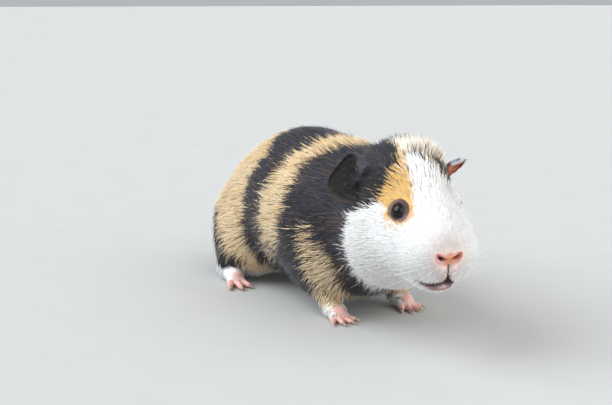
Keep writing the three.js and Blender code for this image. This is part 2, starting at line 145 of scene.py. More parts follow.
def d_ell(p, c, r):
    q = p - np.asarray(c, F)
    r = np.asarray(r, F)
    k0 = np.sqrt(((q / r) ** 2).sum(-1))
    k1 = np.sqrt(((q / (r * r)) ** 2).sum(-1))
    return k0 * (k0 - 1) / np.maximum(k1, 1e-6)


def d_cone(p, ends, r):
    a, b = np.asarray(ends[0], F), np.asarray(ends[1], F)
    r1, r2 = r
    ba = b - a
    l2 = float(ba @ ba)
    rr = r1 - r2
    a2 = l2 - rr * rr
    il2 = 1 / l2
    pa = p - a
    y = pa @ ba
    z = y - l2
    x = pa * l2 - y[..., None] * ba
    x2 = (x * x).sum(-1)
    y2 = y * y * l2
    z2 = z * z * l2
    k = np.sign(rr) * rr * rr * x2
    far = np.sign(z) * a2 * z2 > k
    near = np.sign(y) * a2 * y2 < k
    return np.where(far, np.sqrt(x2 + z2) * il2 - r2, np.where(near, np.sqrt(x2 + y2) * il2 - r1, (np.sqrt(x2 * a2 * il2) + y * rr) * il2 - r1))


def smin(a, b, k):
    h = np.maximum(k - np.abs(a - b), 0) / k
    return np.minimum(a, b) - h * h * k * 0.25


def group(rows, p, d=None):
    m = p.copy()
    m[..., 0] = np.abs(m[..., 0])
    for kind, place, r, k, mirrored in rows:
        q = m if mirrored else p
        v = d_ell(q, place, r) if kind == "ell" else d_cone(q, place, r)
        d = v if d is None else smin(d, v, k)
    return d


def toe_rows(toes):
    rows = []
    n = len(toes["spread"])
    for i in range(n):
        mid = i - (n - 1) / 2
        way = math.radians(toes["spread"][i] + toes["yaw"])
        dx, dy = math.sin(way), -math.cos(way)
        yaw = math.radians(toes["yaw"])
        a = (toes["at"][0] + math.cos(yaw) * mid * toes["row"], toes["at"][1] + math.sin(yaw) * mid * toes["row"] + abs(mid) * 0.9, toes["at"][2])
        length = toes["length"][i]
        b = (a[0] + dx * length, a[1] + dy * length, toes["r"][1] + 0.1)
        rows.append((a, b, (dx, dy)))
    return rows


FORE_ROWS, HIND_ROWS = toe_rows(FORE_TOES), toe_rows(HIND_TOES)


def d_feet(p):
    m = p.copy()
    m[..., 0] = np.abs(m[..., 0])
    fore = d_ell(m, (22.6, -25.4, 4.9), (5.8, 8.4, 4.9))
    for a, b, _ in FORE_ROWS:
        fore = smin(fore, d_cone(m, (a, b), (2.15, 1.5)), 1.3)
    hind = d_cone(m, ((32.6, 83, 6.6), (37.0, 65.5, 4.4)), (6.8, 5.0))
    for a, b, _ in HIND_ROWS:
        hind = smin(hind, d_cone(m, (a, b), (2.5, 1.8)), 1.5)
    return np.minimum(fore, hind)


def form(p, q):
    k = NECK_BLEND[0] + (NECK_BLEND[1] - NECK_BLEND[0]) * ss(NECK_BLEND[2], NECK_BLEND[3], q[..., 1])
    return smin(group(BODY, p), group(HEAD, q), k)


def coat_depth(p, q):
    """How far the skin lies under the tips of the coat."""
    body = 5.0 + 1.3 * ss(70, 35, p[..., 2]) + 0.8 * ss(60, 100, p[..., 1]) - 2.0 * ss(22, 10, p[..., 2])
    nose = np.sqrt(((q - np.asarray((0, -45, -10), F)) ** 2).sum(-1))
    eye = np.minimum(
        np.sqrt(((q - np.asarray(EYE_AT[-1] + EYE_LOOK * (-3, 3, 3), F)) ** 2).sum(-1)),
        np.sqrt(((q - np.asarray(EYE_AT[1] + EYE_LOOK * 3, F)) ** 2).sum(-1)))
    head = 0.35 + 1.0 * ss(5, 16, nose) + 2.6 * ss(18, 44, nose)
    crown = ss(12, 4, np.abs(q[..., 1] - 6)) * ss(20, 32, q[..., 2]) * ss(20, 12, np.abs(q[..., 0] - 1))
    head = head + 3.0 * crown
    head = 0.35 + (head - 0.35) * ss(6, 13, eye)
    left_eye = np.sqrt(((q - np.asarray(EYE_AT[1] + EYE_LOOK * 3, F)) ** 2).sum(-1))
    head = head + 0.75 * ss(9.5, 5.5, left_eye)
    return mix(head, body, ss(-2, 22, q[..., 1])) * 1.0


def outline(p):
    """Distance to the tips of the coat."""
    q = to_head(p)
    return smin(group(SHANKS, p, form(p, q)), d_feet(p), 5)


def skin_gap(p):
    """Distance to the skin under the coat."""
    q = to_head(p)
    d = form(p, q) + coat_depth(p, q)
    shank = group([(k, a, (r[0] - 1.8, r[1] - 1.2), b, m) for k, a, r, b, m in SHANKS], p, d)
    return smin(shank, d_feet(p) + 0.25, 3.5)


def many(f, p, chunk=150000):
    p = np.asarray(p, F)
    return np.concatenate([f(p[i:i + chunk]) for i in range(0, len(p), chunk)]) if len(p) else np.zeros(0, F)


def slope(f, p, e=0.35, base=None):
    base = many(f, p) if base is None else base
    g = np.stack([many(f, p + np.asarray(np.eye(3)[k] * e, F)) - base for k in range(3)], -1)
    return unit(g).astype(F), base


# ---------------------------------------------------------------- smooth random numbers, always the same
def hash3(i, seed):
    i = i.astype(np.int64)
    h = (i[..., 0] * 73856093) ^ (i[..., 1] * 19349663) ^ (i[..., 2] * 83492791) ^ (seed * 2654435761)
    h = (h ^ (h >> 13)) * 1274126177 & 0xFFFFFFFF
    h = (h ^ (h >> 16)) & 0xFFFFFF
    return (h / float(0xFFFFFF)).astype(F)


def noise(p, size, seed):
    """Value noise between -1 and 1."""
    x = np.asarray(p, F) / F(size)
    i = np.floor(x)
    f = x - i
    f = f * f * (3 - 2 * f)
    out = 0
    for dx in (0, 1):
        for dy in (0, 1):
            for dz in (0, 1):
                w = (f[..., 0] if dx else 1 - f[..., 0]) * (f[..., 1] if dy else 1 - f[..., 1]) * (f[..., 2] if dz else 1 - f[..., 2])
                out = out + w * hash3(i + np.array([dx, dy, dz]), seed)
    return out * 2 - 1


# ---------------------------------------------------------------- features of the face, in the head's own frame
NOSE_X = -1.8  # the nose pad sits a little to the right


def nose_line(z):
    return NOSE_X * ss(-20, -11, z)


MOUTH = np.array([(0, -42.8, -22.8), (2.0, -41.9, -24.5), (5.0, -40.8, -25.6), (8.0, -39.6, -25.6), (11.0, -38.0, -24.8), (14.0, -36.2, -23.6)], F)


def to_line(p, line):
    best = np.full(p.shape[:-1], 1e9, F)
    along = np.zeros(p.shape[:-1], F)
    n = len(line) - 1
    for i in range(n):
        a, b = line[i], line[i + 1]
        ab = b - a
        t = np.clip(((p - a) @ ab) / float(ab @ ab), 0, 1)
        d = np.sqrt(((p - a - t[..., None] * ab) ** 2).sum(-1))
        near = d < best
        best = np.where(near, d, best)
        along = np.where(near, (i + t) / n, along)
    return best, along


def mouth_line(q):
    # mostly across and up: how deep a point lies in the gap counts little
    m = q.copy()
    m[..., 0] = np.abs(m[..., 0])
    flatten = np.asarray((1, 0.25, 1), F)
    return to_line(m * flatten, MOUTH * flatten)


def nostril(q):
    """Distance from the nearer nostril slit in units of its own half size, and the distance across it."""
    x = q[..., 0] - NOSE_X
    side = np.where(x < 0, -1, 1)
    x = np.abs(x) - 4.0
    z = q[..., 2] + 9.8
    a = x * 0.84 + z * 0.54
    b = -x * 0.54 + z * 0.84 - 0.09 * (a - 0.4) ** 2
    k = np.sqrt((a / 2.1) ** 2 + (b / 0.85) ** 2)
    front = q[..., 1] < -38
    return np.where(front, k, 9), a, b, side


def nose_pad(q):
    """1 on the bare pad round and between the nostrils, 0 outside it."""
    x = np.abs(q[..., 0] - NOSE_X)
    z = q[..., 2]
    wing = np.sqrt(((x - 3.9) / 3.0) ** 2 + ((z + 10.0 - 0.3 * (x - 3.9)) / 3.1) ** 2)
    middle = np.sqrt((x / 3.5) ** 2 + ((z + 10.5) / 3.2) ** 2)
    return ss(1.12, 0.88, np.minimum(wing, middle)) * (q[..., 1] < -38)


def face_relief(q):
    """How far the bare skin of the face stands out from its plain form."""
    k, a, b, _ = nostril(q)
    front = q[..., 1] < -36
    out = -2.2 * np.exp(-(k ** 2) * 1.5) + 0.5 * np.exp(-(((k - 1.8) / 0.55) ** 2)) * (q[..., 1] < -38)
    x = q[..., 0] - nose_line(q[..., 2])
    z = q[..., 2]
    out = out - 0.3 * np.exp(-((x / 1.2) ** 2)) * ss(-6.5, -8.5, z) * ss(-14.5, -12, z) * front
    out = out - 1.3 * np.exp(-((x / (0.6 + 0.5 * ss(-15, -22, z))) ** 2)) * ss(-12.5, -14.2, z) * ss(-25, -22.5, z) * front
    out = out + 0.55 * np.exp(-(((np.abs(x) - 2.6) / 1.7) ** 2)) * ss(-12.5, -15.5, z) * ss(-23.5, -20.5, z) * front
    d, t = mouth_line(q)
    fade = ss(1.05, 0.85, t)
    deep = 2.5 * ss(1.0, 0.3, t) + 0.7
    out = out - deep * np.exp(-((d / (1.45 - 0.5 * t)) ** 2)) * fade
    lip = np.sqrt((q[..., 0] / 7.0) ** 2 + ((z + 27.9) / 1.2) ** 2)
    out = out + 0.6 * ss(1.5, 0.3, lip) * (q[..., 1] < -34)
    return out


def eye_frame(side):
    look = unit(EYE_LOOK * np.array([side, 1, 1]))
    across = unit(np.cross([0, 0, 1.0], look))
    up = np.cross(look, across)
    return EYE_AT[side], look, across, up


def eye_distance(q):
    """Distance from the axis of the nearer eye, in the head's frame."""
    left = (q[..., 0] > 0)[..., None]
    m = q.copy()
    m[..., 0] = np.abs(m[..., 0])
    _, look, across, up = eye_frame(1)
    d = m - np.where(left, EYE_AT[1], EYE_AT[-1] * (-1, 1, 1)).astype(F)
    h = d @ look.astype(F)
    r = np.sqrt(np.maximum((d * d).sum(-1) - h * h, 0))
    return np.where(h > -3, r, 30), h, d @ across.astype(F), d @ up.astype(F)


# ---------------------------------------------------------------- the markings
def table(x, pairs):
    xs = np.array([a for a, _ in pairs], float)
    ys = np.array([b for _, b in pairs], float)
    return np.interp(x, xs, ys)


# Edges of the body's bands: position along the body against the angle round it (0 on the back, 90 on the side).
SADDLE_FRONT = [(0, -15), (12, -12), (24, -8.3), (36, -3.4), (54, -1.8), (76, -0.6), (89, 2.2), (100, 5.7), (111, 11), (130, 25), (147, 42), (180, 46)]
SADDLE_BACK = [(0, 8), (19, 9), (29, 11.5), (44, 15), (56, 20.6), (68, 24), (82, 24.5), (96, 27), (108, 31), (129, 39.7), (144, 49), (180, 52)]
RUMP_FRONT = [(0, 51), (20, 44.4), (36, 38), (45, 39), (54, 43), (65, 48), (77, 49.5), (92, 50.6), (104, 52), (117, 53), (130, 48), (145, 48), (180, 60)]
RUMP_BLACK = [(0, 170), (60, 150), (85, 104), (95, 90), (105, 83), (112, 77), (122, 73), (127, 68), (136, 63), (147, 70), (180, 70)]
BRINDLE_BACK = [(60, -17), (77, -16.3), (94, -15.9), (107, -16.5), (118, -17.4), (130, -17.8), (142, -15.7), (180, -12)]
BRINDLE_FRONT = [(60, -20), (76, -22), (84, -26), (91, -32.7), (103, -37.7), (117, -38.5), (128, -38.8), (143, -34), (180, -30)]
# Edges on the head: the cheek's white ends at this distance behind the head's middle, against the angle round the head.
CHEEK_EDGE = [(0, -40), (44, -24), (50, -11.0), (53, -9.0), (59, -7.2), (71, -3.2), (83, 5.2), (104, 9.8), (115, 10.6), (127, 13.0), (140, 14.4), (157, 20.2), (169, 25.2), (180, 27)]
ORANGE_BACK = [(0, 5), (9, -1), (14, -4.0), (18, -8.2), (26, -9.6), (34, -9.2), (43, -8.4), (51, -8.0), (56, -8.8), (62, -11.6)]
BLAZE_RIGHT = [(-31, 60), (-28.9, 51), (-27.3, 39), (-24.4, 32), (-21.1, 25), (-16.3, 18), (-10.6, 13), (-4.8, 9), (3, 7)]
BLAZE_LEFT = [(-40, 62), (-34, 52), (-28, 45), (-24, 39), (-20, 33), (-17, 27), (-13.6, 19), (-10.4, 8), (-5, -5), (3, -8)]


STREAK = np.array([(-2.2, -3.6, 0), (-0.6, -6.2, 0), (2.3, -10.2, 0), (5.2, -13.6, 0), (9.0, -15.2, 0)], F)


def markings(p, wander=1.0):
    """White, tan and how much of the tan is orange, at points near the surface. What is left is black."""
    p = np.asarray(p, F)
    q = to_head(p)
    w1 = noise(p, 9, 11) * 1.9 * wander
    w2 = noise(p, 4.5, 12) * 1.1 * wander
    y = p[:, 1] + w1 + w2
    ang = np.degrees(np.arctan2(-p[:, 0], p[:, 2] - 50))
    left = ss(-8, -40, ang)
    side = np.abs(ang)
    # the left side carries the same bands, a little moved
    shift = left * (5.0 * np.sin(np.radians(side * 2.2)) + 3.0)
    e = 2.9

    def edge(d, soft=e):
        return ss(-soft, soft, d)

    saddle = edge(y - table(side, SADDLE_FRONT) - shift) * edge(table(side, SADDLE_BACK) + shift * 0.6 - y)
    saddle = saddle * (1 - 0.45 * ss(100, 118, side)) * (1 - 0.45 * ss(125, 145, side))
    rump = edge(y - table(side, RUMP_FRONT) + shift * 0.8) * edge(table(side, RUMP_BLACK) + left * 4 + noise(p, 17, 14) * 7 + noise(p, 7, 15) * 2.5 - y, 3.4)
    rump = rump * (1 - 0.5 * ss(150, 172, side))
    back = BRINDLE_BACK
    brindle = edge(table(side, back) - y + shift * 0.7, 2.6) * edge(y - table(side, BRINDLE_FRONT) + left * 7, 2.4) * ss(66, 92, side)
    brindle = brindle * (0.22 + 0.42 * ss(78, 104, side) + 0.12 * ss(100, 120, side)) * (1 - 0.4 * ss(150, 170, side))
    tan = np.maximum(np.maximum(saddle * 0.97, rump * 0.97), brindle)
    orange = 0.06 + 0.10 * rump + 0.12 * ss(40, 18, p[:, 2]) * rump + 0.1 * brindle + 0.22 * ss(64, 90, p[:, 2])
    white = np.zeros(len(p), F)
    # white hind feet
    foot = ss(11.5, 8.5, p[:, 2] + w2) * (p[:, 1] > 40)
    white = np.maximum(white, foot)
    tan = tan * (1 - foot)
    fore = ss(9.5, 6.5, p[:, 2] + w2) * (p[:, 1] < 10)
    white = np.maximum(white, fore * 0.85)
    tan = tan * (1 - fore)

    # the head
    on_head = ss(34, 24, q[:, 1])
    hx = q[:, 0]
    hy = q[:, 1] + w2 * 0.7
    ha = np.degrees(np.arctan2(-hx, q[:, 2] + 4)) + noise(p, 6, 13) * 1.5 * wander
    right = ha > 0
    hs = np.abs(ha)
    radius = np.sqrt(hx ** 2 + (q[:, 2] + 4) ** 2)
    mm = np.maximum(radius, 8) * math.pi / 180
    cheek = edge(table(hs, CHEEK_EDGE) - hy, 1.6)
    blaze_r = edge((table(hy, BLAZE_RIGHT) - ha) * mm, 1.2)
    blaze_l = edge((ha + table(hy, BLAZE_LEFT)) * mm, 1.2)
    blaze_l = np.maximum(blaze_l, ss(-19.5, -22.0, hy) * (ha < 0))
    blaze = blaze_r * blaze_l * ss(2, -3, hy)
    eye, eye_h, eye_a, eye_u = eye_distance(q)
    patch = edge((ha - table(hy, BLAZE_RIGHT)) * mm, 1.2) * edge(hy - (-29.5), 1.2) * ss(78, 66, ha)
    patch = patch * np.maximum(ss(60, 54, ha), ss(-14.5, -16, hy) * ss(9.0, 7.0, eye))
    orange_h = patch * edge(hy * -1 + table(np.abs(ha), ORANGE_BACK), 2.0) * (ha > 0)
    dark_r = patch * edge(hy - table(np.abs(ha), ORANGE_BACK), 2.0) * (ha > 0)
    # pale crescent under the right eye
    under = ss(9.6, 8.2, eye) * ss(5.0, 6.5, eye) * ss(1.5, -1.5, eye_u) * (hx < 0) * 0.5
    # the left of the face: a narrow orange band, then a black patch round eye and ear
    dl = (-ha - table(hy, BLAZE_LEFT)) * mm
    left_face = edge(dl, 1.2) * (ha < 0) * edge(hy + 21.0, 1.6) * ss(64, 54, hs) * ss(6.5, 8.5, np.where(hx > 0, eye, 30))
    orange_l = left_face * ss(2.6, 1.2, dl) * ss(-2, -5, hy)
    black_l = left_face * (1 - orange_l)
    # white of the muzzle and cheeks wins unless a patch lies over it
    lower = cheek * ss(42, 50, hs)
    muzzle = ss(-26.5, -29.5, hy)
    w = np.maximum(np.maximum(blaze, lower), muzzle)
    w = w * (1 - orange_h) * (1 - dark_r) * (1 - black_l) * (1 - orange_l)
    w = np.maximum(w, muzzle * (1 - orange_h) * (1 - orange_l) * (1 - black_l))
    t = np.maximum(np.maximum(orange_h, orange_l), under)
    o = np.where(under > orange_h, 0.2, 0.95 - 0.45 * ss(-4, 0, hy))
    # crown: cream tufts, darker at the left, over the black of the nape
    crown = ss(-8, -4.5, hy) * ss(12.5, 9.0, hy) * ss(12.0, 8.5, ha) * ss(-36, -30, ha) * (q[:, 2] > 8)
    flat = np.stack([hx + w2 * 0.5, q[:, 1], np.zeros(len(p), F)], -1).astype(F)
    sd, _ = to_line(flat, STREAK)
    streak = np.exp(-((sd / 1.6) ** 2)) * (q[:, 2] > 10) * 0.6
    crown_w = crown * (0.70 - 0.18 * ss(-8, -20, ha))
    crown_t = crown * (0.28 + 0.2 * ss(-8, -20, ha))
    w = np.maximum(w * (1 - crown), crown_w) * (1 - streak)
    t = np.maximum(t * (1 - crown), crown_t) * (1 - streak)
    o = np.where(crown > 0.5, 0.05 + 0.3 * ss(-16, -28, ha), o)
    white = mix(white, w, on_head)
    tan = mix(tan, t, on_head)
    orange = mix(orange, o, on_head * np.clip(t * 2, 0, 1))
    total = np.maximum(white + tan, 1)
    return (white / total).astype(F), (tan / total).astype(F), np.clip(orange, 0, 1).astype(F)


def srgb(r, g, b):
    c = np.array([r, g, b], float) / 255
    return np.where(c <= 0.04045, c / 12.92, ((c + 0.055) / 1.055) ** 2.4).astype(F)


WHITE, WHITE_LOW = srgb(253, 252, 250), srgb(240, 238, 237)
CREAM, GOLD, ORANGE, BROWN = srgb(245, 230, 200), srgb(222, 180, 118), srgb(233, 174, 80), srgb(150, 108, 70)
# SLATE_SHEEN is painted sheen: the bluish grey that sky light gives black hair
BLACK, SLATE_SHEEN = srgb(13, 12, 16), srgb(54, 54, 70)
PINK, FLESH, NOSE_PINK, LIP = srgb(226, 182, 172), srgb(206, 164, 154), srgb(216, 158, 152), srgb(150, 76, 76)
MAUVE, EAR_DARK, EAR_RED = srgb(142, 112, 122), srgb(38, 28, 28), srgb(150, 76, 40)


# ---------------------------------------------------------------- making meshes
def new_mesh(name, co, faces, tint=None, normals=None, uv=None, extra=None):
    """co in millimetres in the animal's frame; faces one (n, k) array or a list of such arrays."""
    me = bpy.data.meshes.new(name)
    co = np.asarray(co, float)
    world = ((co + ORIGIN_SHIFT) * 0.001).astype(F)
    groups = faces if isinstance(faces, list) else [faces]
    groups = [np.asarray(g, np.int32) for g in groups if len(g)]
    loops = np.concatenate([g.ravel() for g in groups])
    sizes = np.concatenate([np.full(len(g), g.shape[1], np.int32) for g in groups])
    starts = np.concatenate([[0], np.cumsum(sizes)[:-1]]).astype(np.int32)
    me.vertices.add(len(world))
    me.vertices.foreach_set("co", world.ravel())
    me.loops.add(len(loops))
    me.loops.foreach_set("vertex_index", loops)
    me.polygons.add(len(sizes))
    me.polygons.foreach_set("loop_start", starts)
    me.update(calc_edges=True)
    if tint is not None:
        at = me.attributes.new("tint", "FLOAT_COLOR", "POINT")
        rgba = np.ones((len(world), 4), F)
        rgba[:, : np.shape(tint)[1]] = tint
        at.data.foreach_set("color", rgba.ravel())
    for key, values in (extra or {}).items():
        at = me.attributes.new(key, "FLOAT", "POINT")
        at.data.foreach_set("value", np.asarray(values, F))
    if uv is not None:
        layer = me.uv_layers.new(name="OFBake")
        layer.data.foreach_set("uv", np.asarray(uv, F)[loops].ravel())
    if normals is not None:
        at = me.attributes.new("custom_normal", "FLOAT_VECTOR", "POINT")
        at.data.foreach_set("vector", np.asarray(normals, F).ravel())
        me.update()
    ob = bpy.data.objects.new(name, me)
    SCENE.collection.objects.link(ob)
    return ob


# ---------------------------------------------------------------- materials
def node_tree(name):
    m = bpy.data.materials.new(name)
    m.use_nodes = True
    t = m.node_tree
    return m, t, t.nodes["Principled BSDF"]


def link(t, a, b):
    t.links.new(a, b)


def add(t, kind, **values):
    n = t.nodes.new(kind)
    for k, v in values.items():
        setattr(n, k, v)
    return n


def coat_material(name, rough, sheen, sheen_tint, spec):
    m, t, bsdf = node_tree(name)
    tint = add(t, "ShaderNodeAttribute", attribute_name="tint")
    place = add(t, "ShaderNodeTexCoord")
    grain = add(t, "ShaderNodeTexNoise")
    grain.inputs["Scale"].default_value = 900
    grain.inputs["Detail"].default_value = 3
    link(t, place.outputs["Object"], grain.inputs["Vector"])
    span = add(t, "ShaderNodeMapRange")
    span.inputs["From Min"].default_value = 0.25
    span.inputs["From Max"].default_value = 0.75
    span.inputs["To Min"].default_value = 0.86
    span.inputs["To Max"].default_value = 1.12
    link(t, grain.outputs["Fac"], span.inputs["Value"])
    shade = add(t, "ShaderNodeVectorMath", operation="SCALE")
    link(t, tint.outputs["Color"], shade.inputs[0])
    link(t, span.outputs["Result"], shade.inputs["Scale"])
    link(t, shade.outputs["Vector"], bsdf.inputs["Base Color"])
    r = add(t, "ShaderNodeMapRange")
    r.inputs["To Min"].default_value = rough - 0.1
    r.inputs["To Max"].default_value = rough + 0.12
    link(t, grain.outputs["Fac"], r.inputs["Value"])
    link(t, r.outputs["Result"], bsdf.inputs["Roughness"])
    bump = add(t, "ShaderNodeBump")
    bump.inputs["Strength"].default_value = 0.25
    bump.inputs["Distance"].default_value = 0.0002
    link(t, grain.outputs["Fac"], bump.inputs["Height"])
    link(t, bump.outputs["Normal"], bsdf.inputs["Normal"])
    bsdf.inputs["Sheen Weight"].default_value = sheen
    bsdf.inputs["Sheen Roughness"].default_value = 0.45
    bsdf.inputs["Sheen Tint"].default_value = (*sheen_tint, 1)
    bsdf.inputs["Specular IOR Level"].default_value = spec
    return m


def skin_material():
    m, t, bsdf = node_tree("guinea_pig_skin")
    tint = add(t, "ShaderNodeAttribute", attribute_name="tint")
    wet = add(t, "ShaderNodeAttribute", attribute_name="wet")
    place = add(t, "ShaderNodeTexCoord")
    blotch = add(t, "ShaderNodeTexNoise")
    blotch.inputs["Scale"].default_value = 420
    blotch.inputs["Detail"].default_value = 5
    pores = add(t, "ShaderNodeTexVoronoi")
    pores.inputs["Scale"].default_value = 1500
    link(t, place.outputs["Object"], blotch.inputs["Vector"])
    link(t, place.outputs["Object"], pores.inputs["Vector"])
    span = add(t, "ShaderNodeMapRange")
    span.inputs["From Min"].default_value = 0.3
    span.inputs["From Max"].default_value = 0.7
    span.inputs["To Min"].default_value = 0.82
    span.inputs["To Max"].default_value = 1.12
    link(t, blotch.outputs["Fac"], span.inputs["Value"])
    shade = add(t, "ShaderNodeVectorMath", operation="SCALE")
    link(t, tint.outputs["Color"], shade.inputs[0])
    link(t, span.outputs["Result"], shade.inputs["Scale"])
    link(t, shade.outputs["Vector"], bsdf.inputs["Base Color"])
    r = add(t, "ShaderNodeMapRange")
    r.inputs["To Min"].default_value = 0.62
    r.inputs["To Max"].default_value = 0.26
    link(t, wet.outputs["Fac"], r.inputs["Value"])
    link(t, r.outputs["Result"], bsdf.inputs["Roughness"])
    mixed = add(t, "ShaderNodeMath", operation="MULTIPLY_ADD")
    mixed.inputs[1].default_value = 0.5
    link(t, pores.outputs["Distance"], mixed.inputs[0])
    link(t, blotch.outputs["Fac"], mixed.inputs[2])
    bump = add(t, "ShaderNodeBump")
    bump.inputs["Strength"].default_value = 0.5
    bump.inputs["Distance"].default_value = 0.0002
    link(t, mixed.outputs["Value"], bump.inputs["Height"])
    link(t, bump.outputs["Normal"], bsdf.inputs["Normal"])
    bsdf.inputs["Subsurface Weight"].default_value = 0.12
    bsdf.inputs["Subsurface Radius"].default_value = (0.0015, 0.0006, 0.0004)
    bsdf.inputs["Subsurface Scale"].default_value = 1.0
    return m


def eye_material():
    m, t, bsdf = node_tree("guinea_pig_eye")
    tint = add(t, "ShaderNodeAttribute", attribute_name="tint")
    place = add(t, "ShaderNodeTexCoord")
    flecks = add(t, "ShaderNodeTexNoise")
    flecks.inputs["Scale"].default_value = 1400
    flecks.inputs["Detail"].default_value = 4
    link(t, place.outputs["Object"], flecks.inputs["Vector"])
    span = add(t, "ShaderNodeMapRange")
    span.inputs["To Min"].default_value = 0.45
    span.inputs["To Max"].default_value = 1.6
    link(t, flecks.outputs["Fac"], span.inputs["Value"])
    shade = add(t, "ShaderNodeVectorMath", operation="SCALE")
    link(t, tint.outputs["Color"], shade.inputs[0])
    link(t, span.outputs["Result"], shade.inputs["Scale"])
    link(t, shade.outputs["Vector"], bsdf.inputs["Base Color"])
    r = add(t, "ShaderNodeMapRange")
    r.inputs["To Min"].default_value = 0.05
    r.inputs["To Max"].default_value = 0.12
    link(t, flecks.outputs["Fac"], r.inputs["Value"])
    link(t, r.outputs["Result"], bsdf.inputs["Roughness"])
    bump = add(t, "ShaderNodeBump")
    bump.inputs["Strength"].default_value = 0.04
    bump.inputs["Distance"].default_value = 0.0001
    link(t, flecks.outputs["Fac"], bump.inputs["Height"])
    link(t, bump.outputs["Normal"], bsdf.inputs["Normal"])
    bsdf.inputs["Specular IOR Level"].default_value = 0.3
    bsdf.inputs["Specular Tint"].default_value = (0.86, 0.94, 1.0, 1)
    return m


def horn_material(name, low, high, rough=0.35):
    m, t, bsdf = node_tree(name)
    place = add(t, "ShaderNodeTexCoord")
    grain = add(t, "ShaderNodeTexNoise")
    grain.inputs["Scale"].default_value = 700
    link(t, place.outputs["Object"], grain.inputs["Vector"])
    ramp = add(t, "ShaderNodeValToRGB")
    ramp.color_ramp.elements[0].color = (*low, 1)
    ramp.color_ramp.elements[1].color = (*high, 1)
    ramp.color_ramp.elements[0].position = 0.3
    ramp.color_ramp.elements[1].position = 0.7
    link(t, grain.outputs["Fac"], ramp.inputs["Fac"])
    link(t, ramp.outputs["Color"], bsdf.inputs["Base Color"])
    r = add(t, "ShaderNodeMapRange")
    r.inputs["To Min"].default_value = rough - 0.08
    r.inputs["To Max"].default_value = rough + 0.12
    link(t, grain.outputs["Fac"], r.inputs["Value"])
    link(t, r.outputs["Result"], bsdf.inputs["Roughness"])
    bump = add(t, "ShaderNodeBump")
    bump.inputs["Strength"].default_value = 0.2
    bump.inputs["Distance"].default_value = 0.0002
    link(t, grain.outputs["Fac"], bump.inputs["Height"])
    link(t, bump.outputs["Normal"], bsdf.inputs["Normal"])
    return m


SKIN_MAT = skin_material()
EYE_MAT = eye_material()
CLAW_MAT = horn_material("claw_horn", tuple(srgb(150, 118, 100)), tuple(srgb(214, 190, 172)))
WHISKER_MAT = horn_material("whisker", tuple(srgb(225, 225, 228)), tuple(srgb(248, 248, 250)), 0.3)
FUR_MAT = coat_material("fur", 0.5, 0.2, (0.92, 0.95, 1.0), 0.3)


def finish_piece(ob, material, nodes=()):
    ob.data.materials.append(material)
    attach(ob, "root")
    if nodes:
        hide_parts(*nodes)
    return ob


# ---------------------------------------------------------------- the skin
def skin_form():
    h = 1.3
    lo = np.array([-50.0, -127.0, -1.5])
    n = (np.array([50.0, 121.0, 107.0]) - lo) / h
    n = np.ceil(n).astype(int)
    ax = [lo[k] + np.arange(n[k]) * h for k in range(3)]
    grid = np.stack(np.meshgrid(*ax, indexing="ij"), -1).reshape(-1, 3).astype(F)
    d = many(skin_gap, grid).reshape(n)
    vol = openvdb.FloatGrid(50.0)
    vol.copyFromArray(np.ascontiguousarray(d, F), tolerance=0.0)
    co, quads = vol.convertToQuads(0.0)
    co = (co * h + lo).astype(F)
    quads = quads.astype(np.int32)
    # outward faces
    a, b, c = co[quads[:, 0]], co[quads[:, 1]], co[quads[:, 2]]
    e = co[quads[:, 3]]
    vol6 = (np.einsum("ij,ij->i", a, np.cross(b, c)) + np.einsum("ij,ij->i", a, np.cross(c, e))).sum()
    if vol6 < 0:
        quads = quads[:, ::-1]
    return co, quads


def fine_near(co, quads):
    """Splits the faces of the muzzle and feet, where the skin shows."""
    me = bpy.data.meshes.new("tmp")
    me.from_pydata(co.tolist(), [], quads.tolist())
    bm = bmesh.new()
    bm.from_mesh(me)
    bpy.data.meshes.remove(me)
    for level in range(2):
        bm.verts.ensure_lookup_table()
        v = np.array([x.co[:] for x in bm.verts], F)
        q = to_head(v)
        muzzle = (q[:, 1] < (-30 if level == 0 else -35)) & (np.abs(q[:, 0]) < (20 if level == 0 else 13)) & (q[:, 2] < (6 if level == 0 else -1))
        foot = (v[:, 2] < (8.5 if level == 0 else -9)) & ((v[:, 1] < 0) | (v[:, 1] > 50))
        eye, eh, _, _ = eye_distance(q)
        near = muzzle | foot | ((eye < 9) & (level == 0))
        edges = [e for e in bm.edges if near[e.verts[0].index] and near[e.verts[1].index]]
        bmesh.ops.subdivide_edges(bm, edges=edges, cuts=1, use_grid_fill=True)
        bm.verts.index_update()
    bmesh.ops.triangulate(bm, faces=[f for f in bm.faces if len(f.verts) != 4])
    bm.verts.index_update()
    v = np.array([x.co[:] for x in bm.verts], F)
    tri = np.array([[x.index for x in f.verts] for f in bm.faces if len(f.verts) == 3], np.int32).reshape(-1, 3)
    quad = np.array([[x.index for x in f.verts] for f in bm.faces if len(f.verts) == 4], np.int32).reshape(-1, 4)
    bm.free()
    return v, tri, quad


def settle(co, steps=2):
    for _ in range(steps):
        n, d = slope(skin_gap, co)
        co = co - n * np.clip(d, -0.8, 0.8)[:, None]
    return co, n


